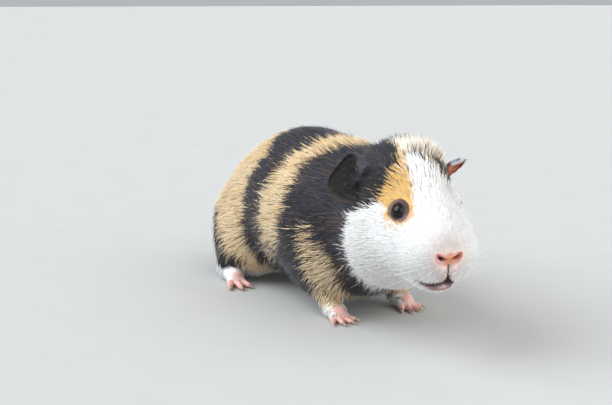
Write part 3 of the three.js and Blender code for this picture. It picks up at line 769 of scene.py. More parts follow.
def skin_colours(p, q):
    w, t, o = markings(p)
    w, t, o = w[:, None], t[:, None], o[:, None]
    tan = mix(mix(CREAM, GOLD, 0.6), ORANGE, o)
    base = w * mix(WHITE_LOW, PINK, 0.16) + t * tan * 0.75 + (1 - w - t) * BLACK * 1.4
    wet = np.zeros(len(p), F)
    front = (q[:, 1] < -36).astype(F)

    def over(mask, colour):
        nonlocal base
        base = mix(base, colour, np.clip(mask, 0, 1)[:, None])

    nose = np.sqrt(((q - np.asarray((0, -46, -12), F)) ** 2).sum(-1))
    over(ss(16, 8, nose) * 0.45, PINK)
    pad = nose_pad(q)
    k, a, b, _ = nostril(q)
    x = q[:, 0] - NOSE_X
    z = q[:, 2]
    over(pad, NOSE_PINK)
    over(pad * ss(3.6, 1.6, k) * 0.5, srgb(204, 128, 124))
    over(pad * np.exp(-(((b + 2.3) / 1.1) ** 2)) * np.exp(-((a / 2.6) ** 2)) * 0.8, srgb(232, 200, 202))
    over(np.exp(-((x / 2.5) ** 2)) * ss(-7.8, -9.4, z) * ss(-15, -13, z) * front * 0.85, srgb(200, 134, 76))
    over(pad * ss(2.6, 5.4, x) * 0.55, srgb(196, 128, 70))
    # the nostril slits are painted dark as painted shade inside the openings: near-black on the near side, orange-brown
    # on the far side
    over(np.exp(-((k / 1.0) ** 2) * 1.0) * 1.3 * (x < 0), srgb(34, 8, 8))
    over(np.exp(-((k / 1.15) ** 2) * 1.0) * 1.1 * (x > 0), srgb(132, 66, 34))
    line = q[:, 0] - nose_line(z)
    philtrum = np.exp(-((line / (0.7 + 0.5 * ss(-15, -22, z))) ** 2)) * ss(-12.8, -14.2, z) * ss(-26.5, -24, z) * front
    over(np.exp(-(((line + 1.2) / 4.2) ** 2)) * ss(-14.0, -17.5, z) * ss(-26, -22, z) * front * 0.85, srgb(190, 140, 122))
    # the cleft of the lip is painted brown, darker lower down where the cleft is deeper: painted shade in the cleft
    over(philtrum, srgb(116, 72, 54))
    over(philtrum * ss(-16.5, -22.5, z), srgb(66, 34, 28))
    d, t2 = mouth_line(q)
    below = z + 24.6
    lip = np.sqrt((q[:, 0] / 6.0) ** 2 + ((z + 28.0) / 0.9) ** 2)
    # a maroon margin round the mouth line: partly the lip's own colour, partly painted shade next to the gap
    over(np.exp(-((d / 3.0) ** 2)) * 1.1 * ss(1.05, 0.8, t2), srgb(138, 80, 76))
    over(ss(1.4, 0.7, lip) * (q[:, 1] < -34) * 0.75, LIP)
    # the gap of the mouth is painted near-black: painted shade inside the opening
    over(np.exp(-((d / (1.75 - 0.6 * t2)) ** 2)) * 1.7 * ss(1.1, 0.97, t2), srgb(26, 9, 9))
    wet = np.maximum(wet, pad * 0.7)
    wet = np.maximum(wet, ss(2.6, 1.0, d) * 0.2)
    eye, eh, ea, _ = eye_distance(q)
    over(ss(6.9, 5.9, eye) * (eh > 0) * 0.85 * (1 - ss(-0.5, -2.5, ea) * (q[:, 0] > 0)), srgb(88, 62, 64))
    # bare toes
    foot = (p[:, 2] < 9)
    toes = np.maximum(ss(-28.5, -31.0, p[:, 1]) * (p[:, 1] > -50) * (p[:, 1] < 0), ss(66, 62, p[:, 1]) * (p[:, 1] > 40)) * foot
    over(toes, mix(PINK, srgb(224, 168, 160), 0.5))
    over(ss(1.6, 0.4, p[:, 2]) * foot, FLESH)
    return base, wet


def ear_surface(name):
    """The petal of one ear: a function of degrees round the root, share of the reach, and distance off its middle."""
    ear = EARS[name]
    a = unit(np.array(ear["out"], float))
    c0 = np.array(ear["face"], float)
    c = unit(c0 - a * (c0 @ a))
    up = np.cross(c, a)
    if up[2] < 0:
        up = -up
    at = np.array(ear["at"])

    def thick(S):
        return mix(1.5, 0.45, np.clip(S, 0, 1) ** 0.8) * (1 - 0.35 * ss(0.93, 1.0, S))

    def point(P, S, off):
        rim = ear["reach"] * table(P, EAR_RIM)
        rim = rim + 0.16 * np.sin(np.radians(P * 7.3)) + 0.1 * np.sin(np.radians(P * 13.1 + 40))
        curl = ear["fold"] * ss(62, 118, P) * S ** 2 + 3.2 * ss(-20, -92, P) * S ** 2 - 2.08 * np.sin(math.pi * np.minimum(1, 0.9 * S)) - 2.2 * S ** 2 * ss(60, -10, P)
        # a ridge behind the front edge, a rolled rim, a crease under the notch and small wrinkles
        curl = curl + 0.75 * np.exp(-(((P - 94) / 9) ** 2)) * ss(0.2, 0.6, S) + 0.9 * ss(0.86, 1.0, S) * ss(-80, -40, P)
        curl = curl - 0.9 * np.exp(-(((P - 50) / 9) ** 2)) * ss(0.35, 0.9, S) - 0.5 * np.exp(-(((P - 20) / 8) ** 2)) * ss(0.5, 1.0, S)
        curl = curl + 0.2 * np.sin(S * 26 + P * 0.11) * ss(0.2, 0.5, S) * ss(1.0, 0.85, S) + 0.14 * np.sin(P * 0.33 + 3 * S) * ss(0.3, 0.8, S)
        r = rim * S
        q = at + (r * np.cos(np.radians(P)))[..., None] * a + (r * np.sin(np.radians(P)))[..., None] * up + (curl + off)[..., None] * c
        q = q.copy()
        q[..., 0] *= ear["side"]
        return q

    return point, thick


def ear_mesh(name):
    """A thin petal with a rolled rim and a hollow at its root, closed all round."""
    point, thick = ear_surface(name)
    nphi, ns = 76, 32
    phi = np.linspace(-92, 118, nphi)
    s = np.linspace(0.1, 1.0, ns)
    P, S = np.meshgrid(phi, s, indexing="ij")
    half = thick(S) / 2
    front, back = point(P, S, half), point(P, S, -half)
    q = np.concatenate([front.reshape(-1, 3), back.reshape(-1, 3)])
    idx = np.arange(nphi * ns).reshape(nphi, ns)
    m = nphi * ns

    def quads(ix, flip):
        f = np.stack([ix[:-1, :-1], ix[1:, :-1], ix[1:, 1:], ix[:-1, 1:]], -1).reshape(-1, 4)
        return f[:, ::-1] if flip else f

    ring = np.concatenate([idx[:, -1], idx[-1, ::-1][1:], idx[::-1, 0][1:], idx[0][1:]])
    nxt = np.roll(ring, -1)
    keep = ring != nxt
    ring, nxt = ring[keep], nxt[keep]
    wall = np.stack([ring, nxt, nxt + m, ring + m], -1)
    faces = np.concatenate([quads(idx, False), quads(idx + m, True), wall[:, ::-1]])
    p = from_head(q)
    tri = np.concatenate([faces[:, [0, 1, 2]], faces[:, [0, 2, 3]]])
    v = (p[tri[:, 0]] * np.cross(p[tri[:, 1]], p[tri[:, 2]])).sum()
    if v < 0:
        faces = faces[:, ::-1]
    inner = np.concatenate([np.ones(m), np.zeros(m)])
    SS = np.concatenate([S.ravel(), S.ravel()])
    PP = np.concatenate([P.ravel(), P.ravel()])
    vein = 0.5 + 0.5 * noise(q.astype(F), 2.2, 31)
    if name == "right":
        col = mix(srgb(13, 9, 10), srgb(38, 26, 25), vein[:, None] * 0.8)
        # reddish brown along the lower front rim: painted light shining through the thin edge
        col = mix(col, srgb(70, 42, 34), (ss(0.9, 1.0, SS) * ss(30, 0, PP) * 0.5)[:, None])
        # pale bluish grey on the front fold: painted sheen
        col = mix(col, srgb(116, 116, 130), (ss(82, 100, PP) * 0.75 * ss(0.15, 0.5, SS))[:, None])
        # paler all along the rim's edge: painted highlight
        col = mix(col, srgb(70, 60, 64), (ss(0.95, 1.0, SS) * 0.6)[:, None])
    else:
        # left ear: the inner side is pink-orange, partly the skin's own tone and partly painted light shining through
        # the thin ear; the back is grey
        col = mix(srgb(176, 84, 44), srgb(206, 122, 84), vein[:, None]) * inner[:, None] + mix(srgb(96, 92, 102), srgb(160, 156, 168), vein[:, None]) * (1 - inner[:, None])
        col = mix(col, srgb(60, 30, 24), (ss(0.86, 1.0, SS) * inner * 0.7 * ss(60, 20, PP))[:, None])
        col = mix(col, srgb(214, 210, 214), (ss(56, 74, PP) * 0.8 * ss(0.84, 0.95, SS))[:, None])
    return p, faces, col.astype(F), np.full(len(p), 0.25, F)


def eye_opening(th, side):
    """Radius of the opening between the lids, drawn out at the front corner."""
    corner = math.atan2(-0.72, -0.70 * side)
    da = np.arctan2(np.sin(th - corner), np.cos(th - corner))
    r = 3.72 + 0.22 * np.cos(th) ** 2 + 0.62 * np.exp(-((da / 0.26) ** 2)) + 0.06 * np.sin(3 * th + 0.6)
    if side > 0:
        r = r - 0.35
    return r, da


def lid_mesh(side):
    """The bare ring of skin round the eye, closed, its outer edge under the skin of the face."""
    at, look, across, up = eye_frame(side)
    n = 80
    th = np.linspace(0, 2 * math.pi, n, endpoint=False)
    open_r, da = eye_opening(th, side)
    rows = []
    # section from inside the eye opening over the lid edge and out under the face
    section = [(-0.12, -1.1), (-0.04, -0.2), (0.05, 0.16), (0.26, 0.40), (0.55, 0.50), (0.9, 0.44), (1.2, 0.20), (1.5, 0.14), (1.9, 0.04), (2.4, -0.3), (2.9, -1.0), (2.9, -1.9), (1.7, -2.1), (0.4, -2.1)]
    for i, (dr, dh) in enumerate(section):
        forward = -side * np.cos(th)
        wide = 1 - 0.22 * ss(0, 1, forward) + 0.12 * ss(0, 1, -forward)
        r = open_r + dr * (wide if dr > 0.2 else 1.0)
        sphere = np.sqrt(np.maximum(EYE_R ** 2 - np.minimum(r, 4.9) ** 2, 0))
        face = 2.95
        edge_h = sphere + 0.05
        w = ss(0.0, 2.0, np.full(n, dr))
        base = edge_h * (1 - w) + face * w
        wrinkle = 0.09 * np.sin(th * 11 + i * 0.9) * (0.4 < dr < 2.6) * (dh > 0)
        hh = base + dh * (1 + 0.2 * np.sin(th)) + wrinkle
        rows.append(at + (r * np.cos(th))[:, None] * across + (r * np.sin(th))[:, None] * up + hh[:, None] * look)
    q = np.array(rows)
    k = len(rows)
    idx = np.arange(k * n).reshape(k, n)
    nxt = np.roll(idx, -1, axis=1)
    down = np.roll(idx, -1, axis=0)
    both = np.roll(nxt, -1, axis=0)
    faces = np.stack([idx, nxt, both, down], -1).reshape(-1, 4)
    p = from_head(q.reshape(-1, 3))
    tri = np.concatenate([faces[:, [0, 1, 2]], faces[:, [0, 2, 3]]])
    v = (p[tri[:, 0]] * np.cross(p[tri[:, 1]], p[tri[:, 2]])).sum()
    if v < 0:
        faces = faces[:, ::-1]
    dr = np.repeat([x[0] for x in section], n)
    dda = np.tile(np.abs(da), k)
    high = np.tile(np.sin(th), k)
    col = mix(srgb(44, 26, 28), srgb(98, 68, 74), ss(0.1, 0.8, dr)[:, None])
    col = mix(col, mix(srgb(138, 108, 124), srgb(92, 62, 60), ss(-0.3, 0.5, high)[:, None]), (ss(0.6, 1.5, dr) * 0.85)[:, None])
    col = mix(col, srgb(190, 168, 182), (np.exp(-((dda / 0.2) ** 2)) * ss(0.8, 0.2, dr) * 0.7)[:, None])
    col = mix(col, srgb(24, 14, 16), ss(0.2, -0.1, dr)[:, None] * 0.9)
    wet = ss(0.6, 0.0, dr) * 0.9
    col = col * 0.74
    if side > 0:
        col = mix(col, srgb(232, 222, 218), np.tile(ss(0.1, 0.7, -np.cos(th)), k)[:, None] * ss(0.15, 0.6, dr)[:, None] * 0.9)
    return p, faces, col.astype(F), wet.astype(F)


co, quads = skin_form()
say("skin volume %d faces" % len(quads))
co, tri, quad = fine_near(co, quads)
say("refined %d tris %d quads" % (len(tri), len(quad)))
co, nrm = settle(co)
hq = to_head(co)
relief = face_relief(hq)
relief[hq[:, 1] > -28] = 0
co = co + nrm * relief[:, None].astype(F)
co[:, 2] = np.maximum(co[:, 2], 0.08)
SKIN_CO, SKIN_N = co.astype(F), nrm
tint, wet = skin_colours(co, hq)
parts = [(co, [tri, quad], tint, wet)]
for name in ("right", "left"):
    p, f, c, w = ear_mesh(name)
    parts.append((p, [f], c, w))
for side in (-1, 1):
    p, f, c, w = lid_mesh(side)
    parts.append((p, [f], c, w))
base = 0
all_co, tris, quads_, tints, wets = [], [], [], [], []
for p, fs, c, w in parts:
    for f in fs:
        (tris if f.shape[1] == 3 else quads_).append(f + base)
    all_co.append(np.asarray(p, float))
    tints.append(c)
    wets.append(w)
    base += len(p)
skin = new_mesh("skin", np.concatenate(all_co), [np.concatenate(tris), np.concatenate(quads_)], tint=np.concatenate(tints), extra={"wet": np.concatenate(wets)})
FLESH_NODES = [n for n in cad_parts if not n.startswith("eye_")]
finish_piece(skin, SKIN_MAT, FLESH_NODES)
say("skin made: %d vertices" % len(skin.data.vertices))


# ---------------------------------------------------------------- eyes
for side, name in ((-1, "right"), (1, "left")):
    at, look, across, up = eye_frame(side)
    rings, segs = 48, 64
    pts, cols = [], []
    for i in range(rings + 1):
        polar = math.pi * i / rings
        bulge = 0.16 * math.exp(-((polar / 0.62) ** 2))
        r = EYE_R + bulge
        deg = math.degrees(polar)
        for j in range(segs):
            az = 2 * math.pi * j / segs
            pts.append(at + r * (math.cos(polar) * look + math.sin(polar) * (math.cos(az) * across + math.sin(az) * up)))
            streak = 0.5 + 0.5 * math.sin(az * 23 + math.sin(az * 7) * 2)
            pupil = min(max((deg - 21) / 4, 0), 1)
            rimd = min(max((deg - 46) / 6, 0), 1)
            iris = np.array([0.0085, 0.0042, 0.0028]) * (0.7 + 0.6 * streak)
            c = iris * pupil + np.array([0.003, 0.0025, 0.003]) * (1 - pupil)
            c = c * (1 - rimd) + np.array([0.007, 0.0045, 0.004]) * rimd
            cols.append(c)
    pts = np.array(pts).reshape(rings + 1, segs, 3)
    faces3, faces4 = [], []
    top, bottom = 0, (rings) * segs
    ids = np.arange((rings + 1) * segs).reshape(rings + 1, segs)
    body = ids[1:-1]
    f4 = np.stack([body[:-1], np.roll(body[:-1], -1, 1), np.roll(body[1:], -1, 1), body[1:]], -1).reshape(-1, 4)
    f3 = [(0, ids[1][(j + 1) % segs], ids[1][j]) for j in range(segs)] + [(bottom, ids[-2][j], ids[-2][(j + 1) % segs]) for j in range(segs)]
    keep = np.concatenate([[0], np.arange(segs, rings * segs), [bottom]])
    remap = -np.ones((rings + 1) * segs, int)
    remap[keep] = np.arange(len(keep))
    P = from_head(pts.reshape(-1, 3)[keep])
    f3, f4 = remap[np.array(f3)], remap[f4]
    v = (P[f4[:, 0]] * np.cross(P[f4[:, 1]], P[f4[:, 2]])).sum()
    c0 = P.mean(0)
    out = ((P[f4[:, 0]] - c0) * np.cross(P[f4[:, 1]] - P[f4[:, 0]], P[f4[:, 2]] - P[f4[:, 0]])).sum()
    if out < 0:
        f4 = f4[:, ::-1]
    out = ((P[f3[:, 0]] - c0) * np.cross(P[f3[:, 1]] - P[f3[:, 0]], P[f3[:, 2]] - P[f3[:, 0]])).sum()
    if out < 0:
        f3 = f3[:, ::-1]
    ball = new_mesh("eyeball_" + name, P, [f3, f4], tint=np.array(cols)[keep])
    finish_piece(ball, EYE_MAT, ["eye_" + name])


# ---------------------------------------------------------------- tubes: claws and whiskers
def tubes(name, lines, sides=8):
    """lines: list of (points, radii). Each is a closed tapered tube."""
    cos, f3, f4, base = [], [], [], 0
    for pts, rad in lines:
        pts = np.asarray(pts, float)
        n = len(pts)
        tan = unit(np.gradient(pts, axis=0))
        ref = np.array([0, 0, 1.0]) if abs(tan[0][2]) < 0.9 else np.array([1.0, 0, 0])
        u = unit(np.cross(tan, ref))
        v = np.cross(tan, u)
        th = np.linspace(0, 2 * math.pi, sides, endpoint=False)
        ring = pts[:-1, None] + np.asarray(rad)[:-1, None, None] * (np.cos(th)[None, :, None] * u[:-1, None] + np.sin(th)[None, :, None] * v[:-1, None])
        cos.append(np.concatenate([ring.reshape(-1, 3), pts[-1:]]))
        ids = base + np.arange((n - 1) * sides).reshape(n - 1, sides)
        nx = np.roll(ids, -1, 1)
        f4.append(np.stack([ids[:-1], ids[1:], nx[1:], nx[:-1]], -1).reshape(-1, 4))
        tip = base + (n - 1) * sides
        f3.append(np.stack([ids[-1], np.full(sides, tip), nx[-1]], -1))
        for k in range(1, sides - 1):
            f3.append(np.array([[ids[0][0], ids[0][k], ids[0][k + 1]]]))
        base += (n - 1) * sides + 1
    P = np.concatenate(cos)
    f4 = np.concatenate(f4) if len(f4) else np.zeros((0, 4), int)
    f3 = np.concatenate(f3)
    tri = np.concatenate([f3, f4[:, [0, 1, 2]], f4[:, [0, 2, 3]]])
    v6 = (P[tri[:, 0]] * np.cross(P[tri[:, 1]], P[tri[:, 2]])).sum()
    if v6 < 0:
        f3, f4 = f3[:, ::-1], f4[:, ::-1]
    return new_mesh(name, P, [f3, f4])


for foot, rows, rad in (("fore", FORE_ROWS, 0.85), ("hind", HIND_ROWS, 1.1)):
    for side, word in ((-1, "right"), (1, "left")):
        lines = []
        for a, b, (dx, dy) in rows:
            t = np.linspace(0, 1, 7)
            b = np.array(b)
            start = b + np.array([dx, dy, 0]) * 0.3 + np.array([0, 0, 0.35])
            end_z = 0.55
            x = start[0] + dx * (CLAW_LENGTH + 0.3) * t
            y = start[1] + dy * (CLAW_LENGTH + 0.3) * t
            z = mix(start[2], end_z, t ** 1.7) + 0.35 * np.sin(math.pi * t) * 0.6
            r = rad * (1 - 0.75 * t ** 1.2)
            r = np.minimum(r, np.maximum(z - 0.12, 0.08))
            pts = np.stack([x * side, y, z], -1)
            lines.append((pts, r))
        claws = tubes("claws_%sfoot_%s" % (foot, word), lines, 10)
        finish_piece(claws, CLAW_MAT)


# ---------------------------------------------------------------- the coat
def combing(p, n, q):
    """Which way the hair lies at a point of the skin."""
    front = np.asarray((0, -52, -7), F)
    over_face = turn_out(unit(q - front) + np.asarray((0, 0.25, 0.0), F))
    x = np.sign(p[:, 0]) * ss(0, 12, np.abs(p[:, 0]))
    low = ss(62, 22, p[:, 2])
    rear = ss(72, 112, p[:, 1])
    legs = ss(24, 10, p[:, 2])
    body = np.stack([0.10 * x * (1 - legs) * ss(80, 50, p[:, 2]), 1 - 0.55 * rear - 0.45 * legs, -0.10 - 0.42 * low - 0.95 * rear - 0.8 * legs], -1)
    # round the shoulder the hair sweeps back level from the cheek, then down
    v = mix(unit(over_face), unit(body), ss(2, 30, q[:, 1])[:, None])
    swirl = noise(p, 26, 41) * 0.28 + noise(p, 11, 42) * 0.16
    v = v - n * (v * n).sum(-1, keepdims=True)
    v = unit(v)
    s = np.cross(n, v)
    return unit(v + s * swirl[:, None]).astype(F)


def scatter(tri, co, density, rng):
    """Random places on the skin, density per square millimetre given at its corners."""
    a, b, c = co[tri[:, 0]], co[tri[:, 1]], co[tri[:, 2]]
    area = 0.5 * np.sqrt((np.cross(b - a, c - a) ** 2).sum(-1))
    want = area * density[tri].mean(-1)
    whole = np.floor(want + rng.random(len(want))).astype(int)
    ids = np.repeat(np.arange(len(tri)), whole)
    u, v = rng.random(len(ids)), rng.random(len(ids))
    flip = u + v > 1
    u[flip], v[flip] = 1 - u[flip], 1 - v[flip]
    p = a[ids] + (b[ids] - a[ids]) * u[:, None] + (c[ids] - a[ids]) * v[:, None]
    return p.astype(F)


class Coat:
    pass


def region(p, q):
    """The coat's density, length, width and stand at places on the skin."""
    r = Coat()
    nose = np.sqrt(((q - np.asarray((0, -45, -10), F)) ** 2).sum(-1))
    face = ss(-2, 16, q[:, 1])
    r.density = mix(mix(6.0, 2.6, ss(8, 40, nose)), 1.57, face)
    r.length = mix(mix(2.6, 11.0, ss(8, 46, nose)), 15.0, face)
    r.width = mix(mix(0.19, 0.36, ss(8, 44, nose)), 0.46, face)
    r.stand = mix(mix(0.85, 0.72, ss(8, 30, nose)), 0.64, face)
    # longer on the lower flank and rump
    low = ss(64, 34, p[:, 2]) * face
    r.length = r.length + 2.2 * low + 1.4 * ss(70, 105, p[:, 1])
    # round the eye short hair
    eye, eh, ea, _ = eye_distance(q)
    near = ss(13, 6.5, eye) * (eh > -2)
    r.length = mix(r.length, 3.2, near)
    r.width = mix(r.width, 0.21, near)
    r.density = mix(r.density, 6.5, near)
    r.ahead = np.where((q[:, 0] > 0) & (eh > -2), ss(11.5, 8.5, eye) * ss(-1.5, -4.0, ea), 0)
    r.length = mix(r.length, 4.8, r.ahead)
    r.density = mix(r.density, 9.0, r.ahead)
    # crown tuft
    crown = ss(14, 8, np.abs(q[:, 1] - 3)) * ss(17, 25, q[:, 2]) * ss(23, 16, np.abs(q[:, 0] - 4))
    r.crown = crown
    r.length = mix(r.length, 7.6 + 1.6 * ss(-6, 4, q[:, 0]), crown)
    r.width = mix(r.width, 0.30, crown)
    r.density = mix(r.density, 4.2, crown)
    # feet and legs
    foot = ss(11, 7, p[:, 2]) * ((p[:, 1] < 4) | (p[:, 1] > 50))
    r.length = mix(r.length, 3.0, foot)
    r.width = mix(r.width, 0.24, foot)
    r.density = mix(r.density, 4.2, foot)
    leg = ss(24, 12, p[:, 2]) * (1 - foot)
    r.length = mix(r.length, 9.0, leg)
    # bare skin: nose pad, mouth, lids, toes, soles
    k, _, _, _ = nostril(q)
    bare = np.maximum(nose_pad(q), ss(2.2, 1.5, k))
    d, t = mouth_line(q)
    bare = np.maximum(bare, ss(2.0 - 0.6 * t, 1.5 - 0.6 * t, d) * ss(1.02, 0.9, t))
    by_mouth = ss(6.5, 3.0, d) * ss(1.0, 0.95, t)
    r.length = mix(r.length, 1.5, by_mouth)
    r.stand = mix(r.stand, 0.6, by_mouth)
    lip = np.sqrt((q[:, 0] / 7.0) ** 2 + ((q[:, 2] + 27.7) / 1.0) ** 2)
    bare = np.maximum(bare, ss(1.2, 0.9, lip) * (q[:, 1] < -34))
    line = np.abs(q[:, 0] - nose_line(q[:, 2])) - 0.6 * ss(-15, -22, q[:, 2])
    bare = np.maximum(bare, ss(0.9, 0.5, line) * ss(-13.2, -14.2, q[:, 2]) * ss(-25, -23, q[:, 2]) * (q[:, 1] < -36))
    bare = np.maximum(bare, ss(5.5, 4.9, eye + 0.55 * ss(0, 4, -ea)) * (eh > 0))
    toe = np.maximum(ss(-30.5, -33.0, p[:, 1]) * (p[:, 1] < 0), ss(64, 60, p[:, 1]) * (p[:, 1] > 40)) * (p[:, 2] < 8) * (np.abs(p[:, 0]) > 12)
    toe = toe * ((p[:, 1] > -46) | (p[:, 1] > 40))
    bare = np.maximum(bare, toe)
    bare = np.maximum(bare, ss(1.4, 0.8, p[:, 2]))
    r.density = r.density * (1 - bare)
    # the belly is seen least
    r.density = r.density * (1 - 0.55 * ss(30, 14, p[:, 2]) * (p[:, 1] > 5) * (p[:, 1] < 60) * (np.abs(p[:, 0]) < 22))
    r.foot = foot
    return r


rng = np.random.default_rng(20)
tri_all = np.concatenate([tri, quad[:, [0, 1, 2]], quad[:, [0, 2, 3]]])
dens = region(SKIN_CO, to_head(SKIN_CO)).density.astype(F)
roots = scatter(tri_all, SKIN_CO, dens, rng)
say("%d roots" % len(roots))
q0 = to_head(roots)
zone = region(roots, q0)
N0, _ = slope(skin_gap, roots)
depth0 = np.maximum(-many(outline, roots), 0.15)
count = len(roots)
length = zone.length * rng.uniform(0.72, 1.22, count)
width = zone.width * rng.uniform(0.7, 1.3, count)
lift = np.clip(rng.normal(zone.stand, mix(0.09, 0.16, ss(-10, 10, q0[:, 1])), count), 0.25, 1.06)
long_one = rng.random(count) < 0.05
lift = np.where(long_one, lift + 0.22, lift)
length = np.where(long_one, length * 1.15, length)
# short stiff hairs stand off the far sides of the muzzle, and a few stray ones off the whole coat
muzzle_edge = ss(34, 22, np.sqrt(((q0 - np.asarray((0, -45, -12), F)) ** 2).sum(-1))) * ss(5, 12, np.abs(q0[:, 0])) * (q0[:, 2] < 4)
stiff = rng.random(count) < 0.10 * muzzle_edge
lift = np.where(stiff, 1.5, lift)
length = np.where(stiff, length * 1.35, length)
width = np.where(stiff, width * 0.75, width)
stray = rng.random(count) < 0.012 * (zone.foot < 0.2)
lift = np.where(stray & ~stiff, lift + 0.45, lift)
width = np.where(stray, width * 0.7, width)
lift = mix(lift, 1.05, zone.crown * 0.7)
lift = mix(lift, 2.2, zone.ahead * (rng.random(count) < 0.8))
veer = rng.normal(0, 0.15, count) + noise(roots, 3.2, 51) * 0.22
SEG = 3
path = [roots]
normals = [N0]
p = roots
n = N0
bend = rng.normal(0, 0.10, count)
crown_rise = zone.crown * np.clip(rng.normal(0.72, 0.13, count), 0.35, 0.95)
for k in range(1, SEG + 1):
    x = k / SEG
    q = to_head(p)
    v = combing(p, n, q)
    s = np.cross(n, v)
    turned = veer + bend * (k - 1)
    v = v * np.cos(turned)[:, None] + s * np.sin(turned)[:, None]
    step = (length / SEG)[:, None]
    # crown hair stands up and leans back
    rise = crown_rise * (1.0 - 0.25 * x)
    way = unit(v * (1 - rise)[:, None] + n * rise[:, None] + np.asarray((0, 0, 0.3), F) * rise[:, None])
    p2 = (p + way * step).astype(F)
    n2, d2 = slope(outline, p2)
    want = -depth0 * (1 - lift * x ** 0.75)
    fix = (want - d2) * (1 - zone.crown * 0.9)
    limit = step[:, 0] * 0.9
    p2 = p2 + n2 * np.clip(fix, -limit, limit)[:, None]
    path.append(p2.astype(F))
    normals.append(n2)
    p, n = p2.astype(F), n2
say("combed")

# locks: the tips of neighbours gather on one of them
pick = np.flatnonzero(rng.random(count) < 0.075)
tree = KDTree(len(pick))
for i, j in enumerate(pick):
    tree.insert(roots[j], i)
tree.balance()
jit = roots + rng.normal(0, 0.5, roots.shape)
near = np.array([tree.find(v)[1] for v in jit.tolist()])
lead = pick[near]
pull = np.clip(rng.normal(0.40, 0.16, count), 0, 0.8) * (1 - 0.6 * ss(42, 15, np.sqrt(((q0 - np.asarray((0, -45, -10), F)) ** 2).sum(-1))))
pull = pull * mix(0.6, 1.0, ss(-8, 12, q0[:, 1]))
pull = pull * (0.75 + 0.5 * noise(roots, 14, 61)) * (1 - 0.5 * zone.crown)
for k in range(1, SEG + 1):
    w = (pull * (k / SEG) ** 1.4)[:, None]
    path[k] = (path[k] + (path[k][lead] - path[k]) * w).astype(F)
for k in range(1, SEG + 1):
    path[k][:, 2] = np.maximum(path[k][:, 2], 0.35)
say("locks gathered")

# keep hair out of the eyes: drop tufts that cross an opening
tip_q = to_head(path[-1])
mid_q = to_head(path[2])
e1, h1, _, _ = eye_distance(tip_q)
e2, h2, _, _ = eye_distance(mid_q)
bad = ((e1 < 5.0) & (h1 > 0)) | ((e2 < 5.0) & (h2 > 0)) | (zone.density <= 0)
k1, _, _, _ = nostril(tip_q)
bad |= (k1 < 1.3) & (tip_q[:, 1] < -40)
bad |= nose_pad(tip_q) * (tip_q[:, 1] < -42) > 0.6
for at_k in (1, 2, 3):
    pq = to_head(path[at_k])
    d1, t1 = mouth_line(pq)
    bad |= (d1 < 1.45 - 0.5 * t1) & (t1 < 0.97)
    bad |= (np.sqrt((pq[:, 0] / 6.0) ** 2 + ((pq[:, 2] + 27.7) / 0.8) ** 2) < 1) & (pq[:, 1] < -34)
for ear in EARS.values():
    a = unit(np.array(ear["out"], float))
    c = np.array(ear["face"], float)
    c = unit(c - a * (c @ a))
    up = np.cross(c, a)
    up = up if up[2] > 0 else -up
    for at_k in (2, 3):
        pq = to_head(path[at_k]) * (ear["side"], 1, 1) - np.array(ear["at"])
        u, v, h = pq @ a, pq @ up, pq @ c
        S = np.hypot(u, v) / (ear["reach"] * table(np.degrees(np.arctan2(v, u)), EAR_RIM))
        bad |= (S < 0.95) & (u > 1.5) & (h > -2.5) & (h < 4.5)
keep = np.flatnonzero(~bad)

# colours, taken where each tuft shows
seen = mix(path[1], path[2], 0.6)
seen = np.where((rng.random(count) < 0.12)[:, None], roots, seen)
seen = seen + rng.normal(0, 0.7, seen.shape)
w, t, o = markings(seen)
dice = rng.random(count)
lockdice = np.clip(0.5 + (rng.random(count)[lead] - 0.5) * 0.9 + (dice - 0.5) * 0.5, 0, 1)
dice = mix(dice, lockdice, 0.4)
is_white = dice < w
is_tan = (~is_white) & (dice < w + t)
shade = rng.random(count)[:, None]
lock_shade = rng.random(count)[lead][:, None]
both = mix(shade, lock_shade, 0.5)
white_c = mix(WHITE, WHITE_LOW, both ** 2 * 0.8)
gold = mix(CREAM, GOLD, np.clip(both * 0.85 + 0.08, 0, 1))
gold = mix(gold, CREAM, (0.4 * ss(54, 30, roots[:, 2]) * (zone.foot < 0.5))[:, None])
tan_c = mix(gold, mix(ORANGE, srgb(240, 196, 104), both), o[:, None])
tan_c = mix(tan_c, mix(CREAM, GOLD, both * 0.35), zone.crown[:, None] * 0.7)
white_c = mix(white_c, CREAM, zone.crown[:, None] * 0.4)
# the hair is thin and pinkish round the nose and beside the cleft of the lip
snout = np.sqrt(((q0 - np.asarray((-1.8, -44.5, -9.5), F)) ** 2).sum(-1))
blush = 0.5 * ss(12, 5, snout)
cleft = np.exp(-(((q0[:, 0] - nose_line(q0[:, 2]) + 1.0) / 3.6) ** 2)) * ss(-14, -17, q0[:, 2]) * ss(-26, -23, q0[:, 2]) * (q0[:, 1] < -36)
blush = np.maximum(blush, 0.95 * cleft)
white_c = mix(white_c, mix(srgb(222, 184, 172), srgb(190, 146, 132), both), (blush * rng.uniform(0.4, 1.0, count))[:, None])
tan_c = np.where(rng.random(count)[:, None] < 0.09, mix(tan_c, BROWN, 0.6), tan_c)
# black tufts are drawn towards the painted sheen colour, some more than others, and the tips of black tufts more again
black_c = mix(BLACK, SLATE_SHEEN, both ** 1.6 * 0.65)
black_c = np.where(rng.random(count)[:, None] < 0.09, mix(black_c, BROWN, 0.42), black_c)
colour = np.where(is_white[:, None], white_c, np.where(is_tan[:, None], tan_c, black_c)).astype(F)
root_c = np.where(is_white[:, None], colour * 1.0, np.where(is_tan[:, None], mix(colour * 0.72, CREAM * 0.7, 0.3), colour * 0.6)).astype(F)
tip_c = np.where(is_white[:, None], mix(white_c, WHITE, 0.5), np.where(is_tan[:, None], mix(colour, CREAM, 0.3), mix(colour, SLATE_SHEEN, 0.28))).astype(F)
say("colours")

# groups
head_w = q0[:, 1] < 14
groups = []


def split(name, ids, key, parts):
    if not len(ids):
        return
    order = ids[np.argsort(key[ids], kind="stable")]
    for i, part in enumerate(np.array_split(order, parts)):
        groups.append((name if parts == 1 else "%s_%d" % (name, i + 1), part))


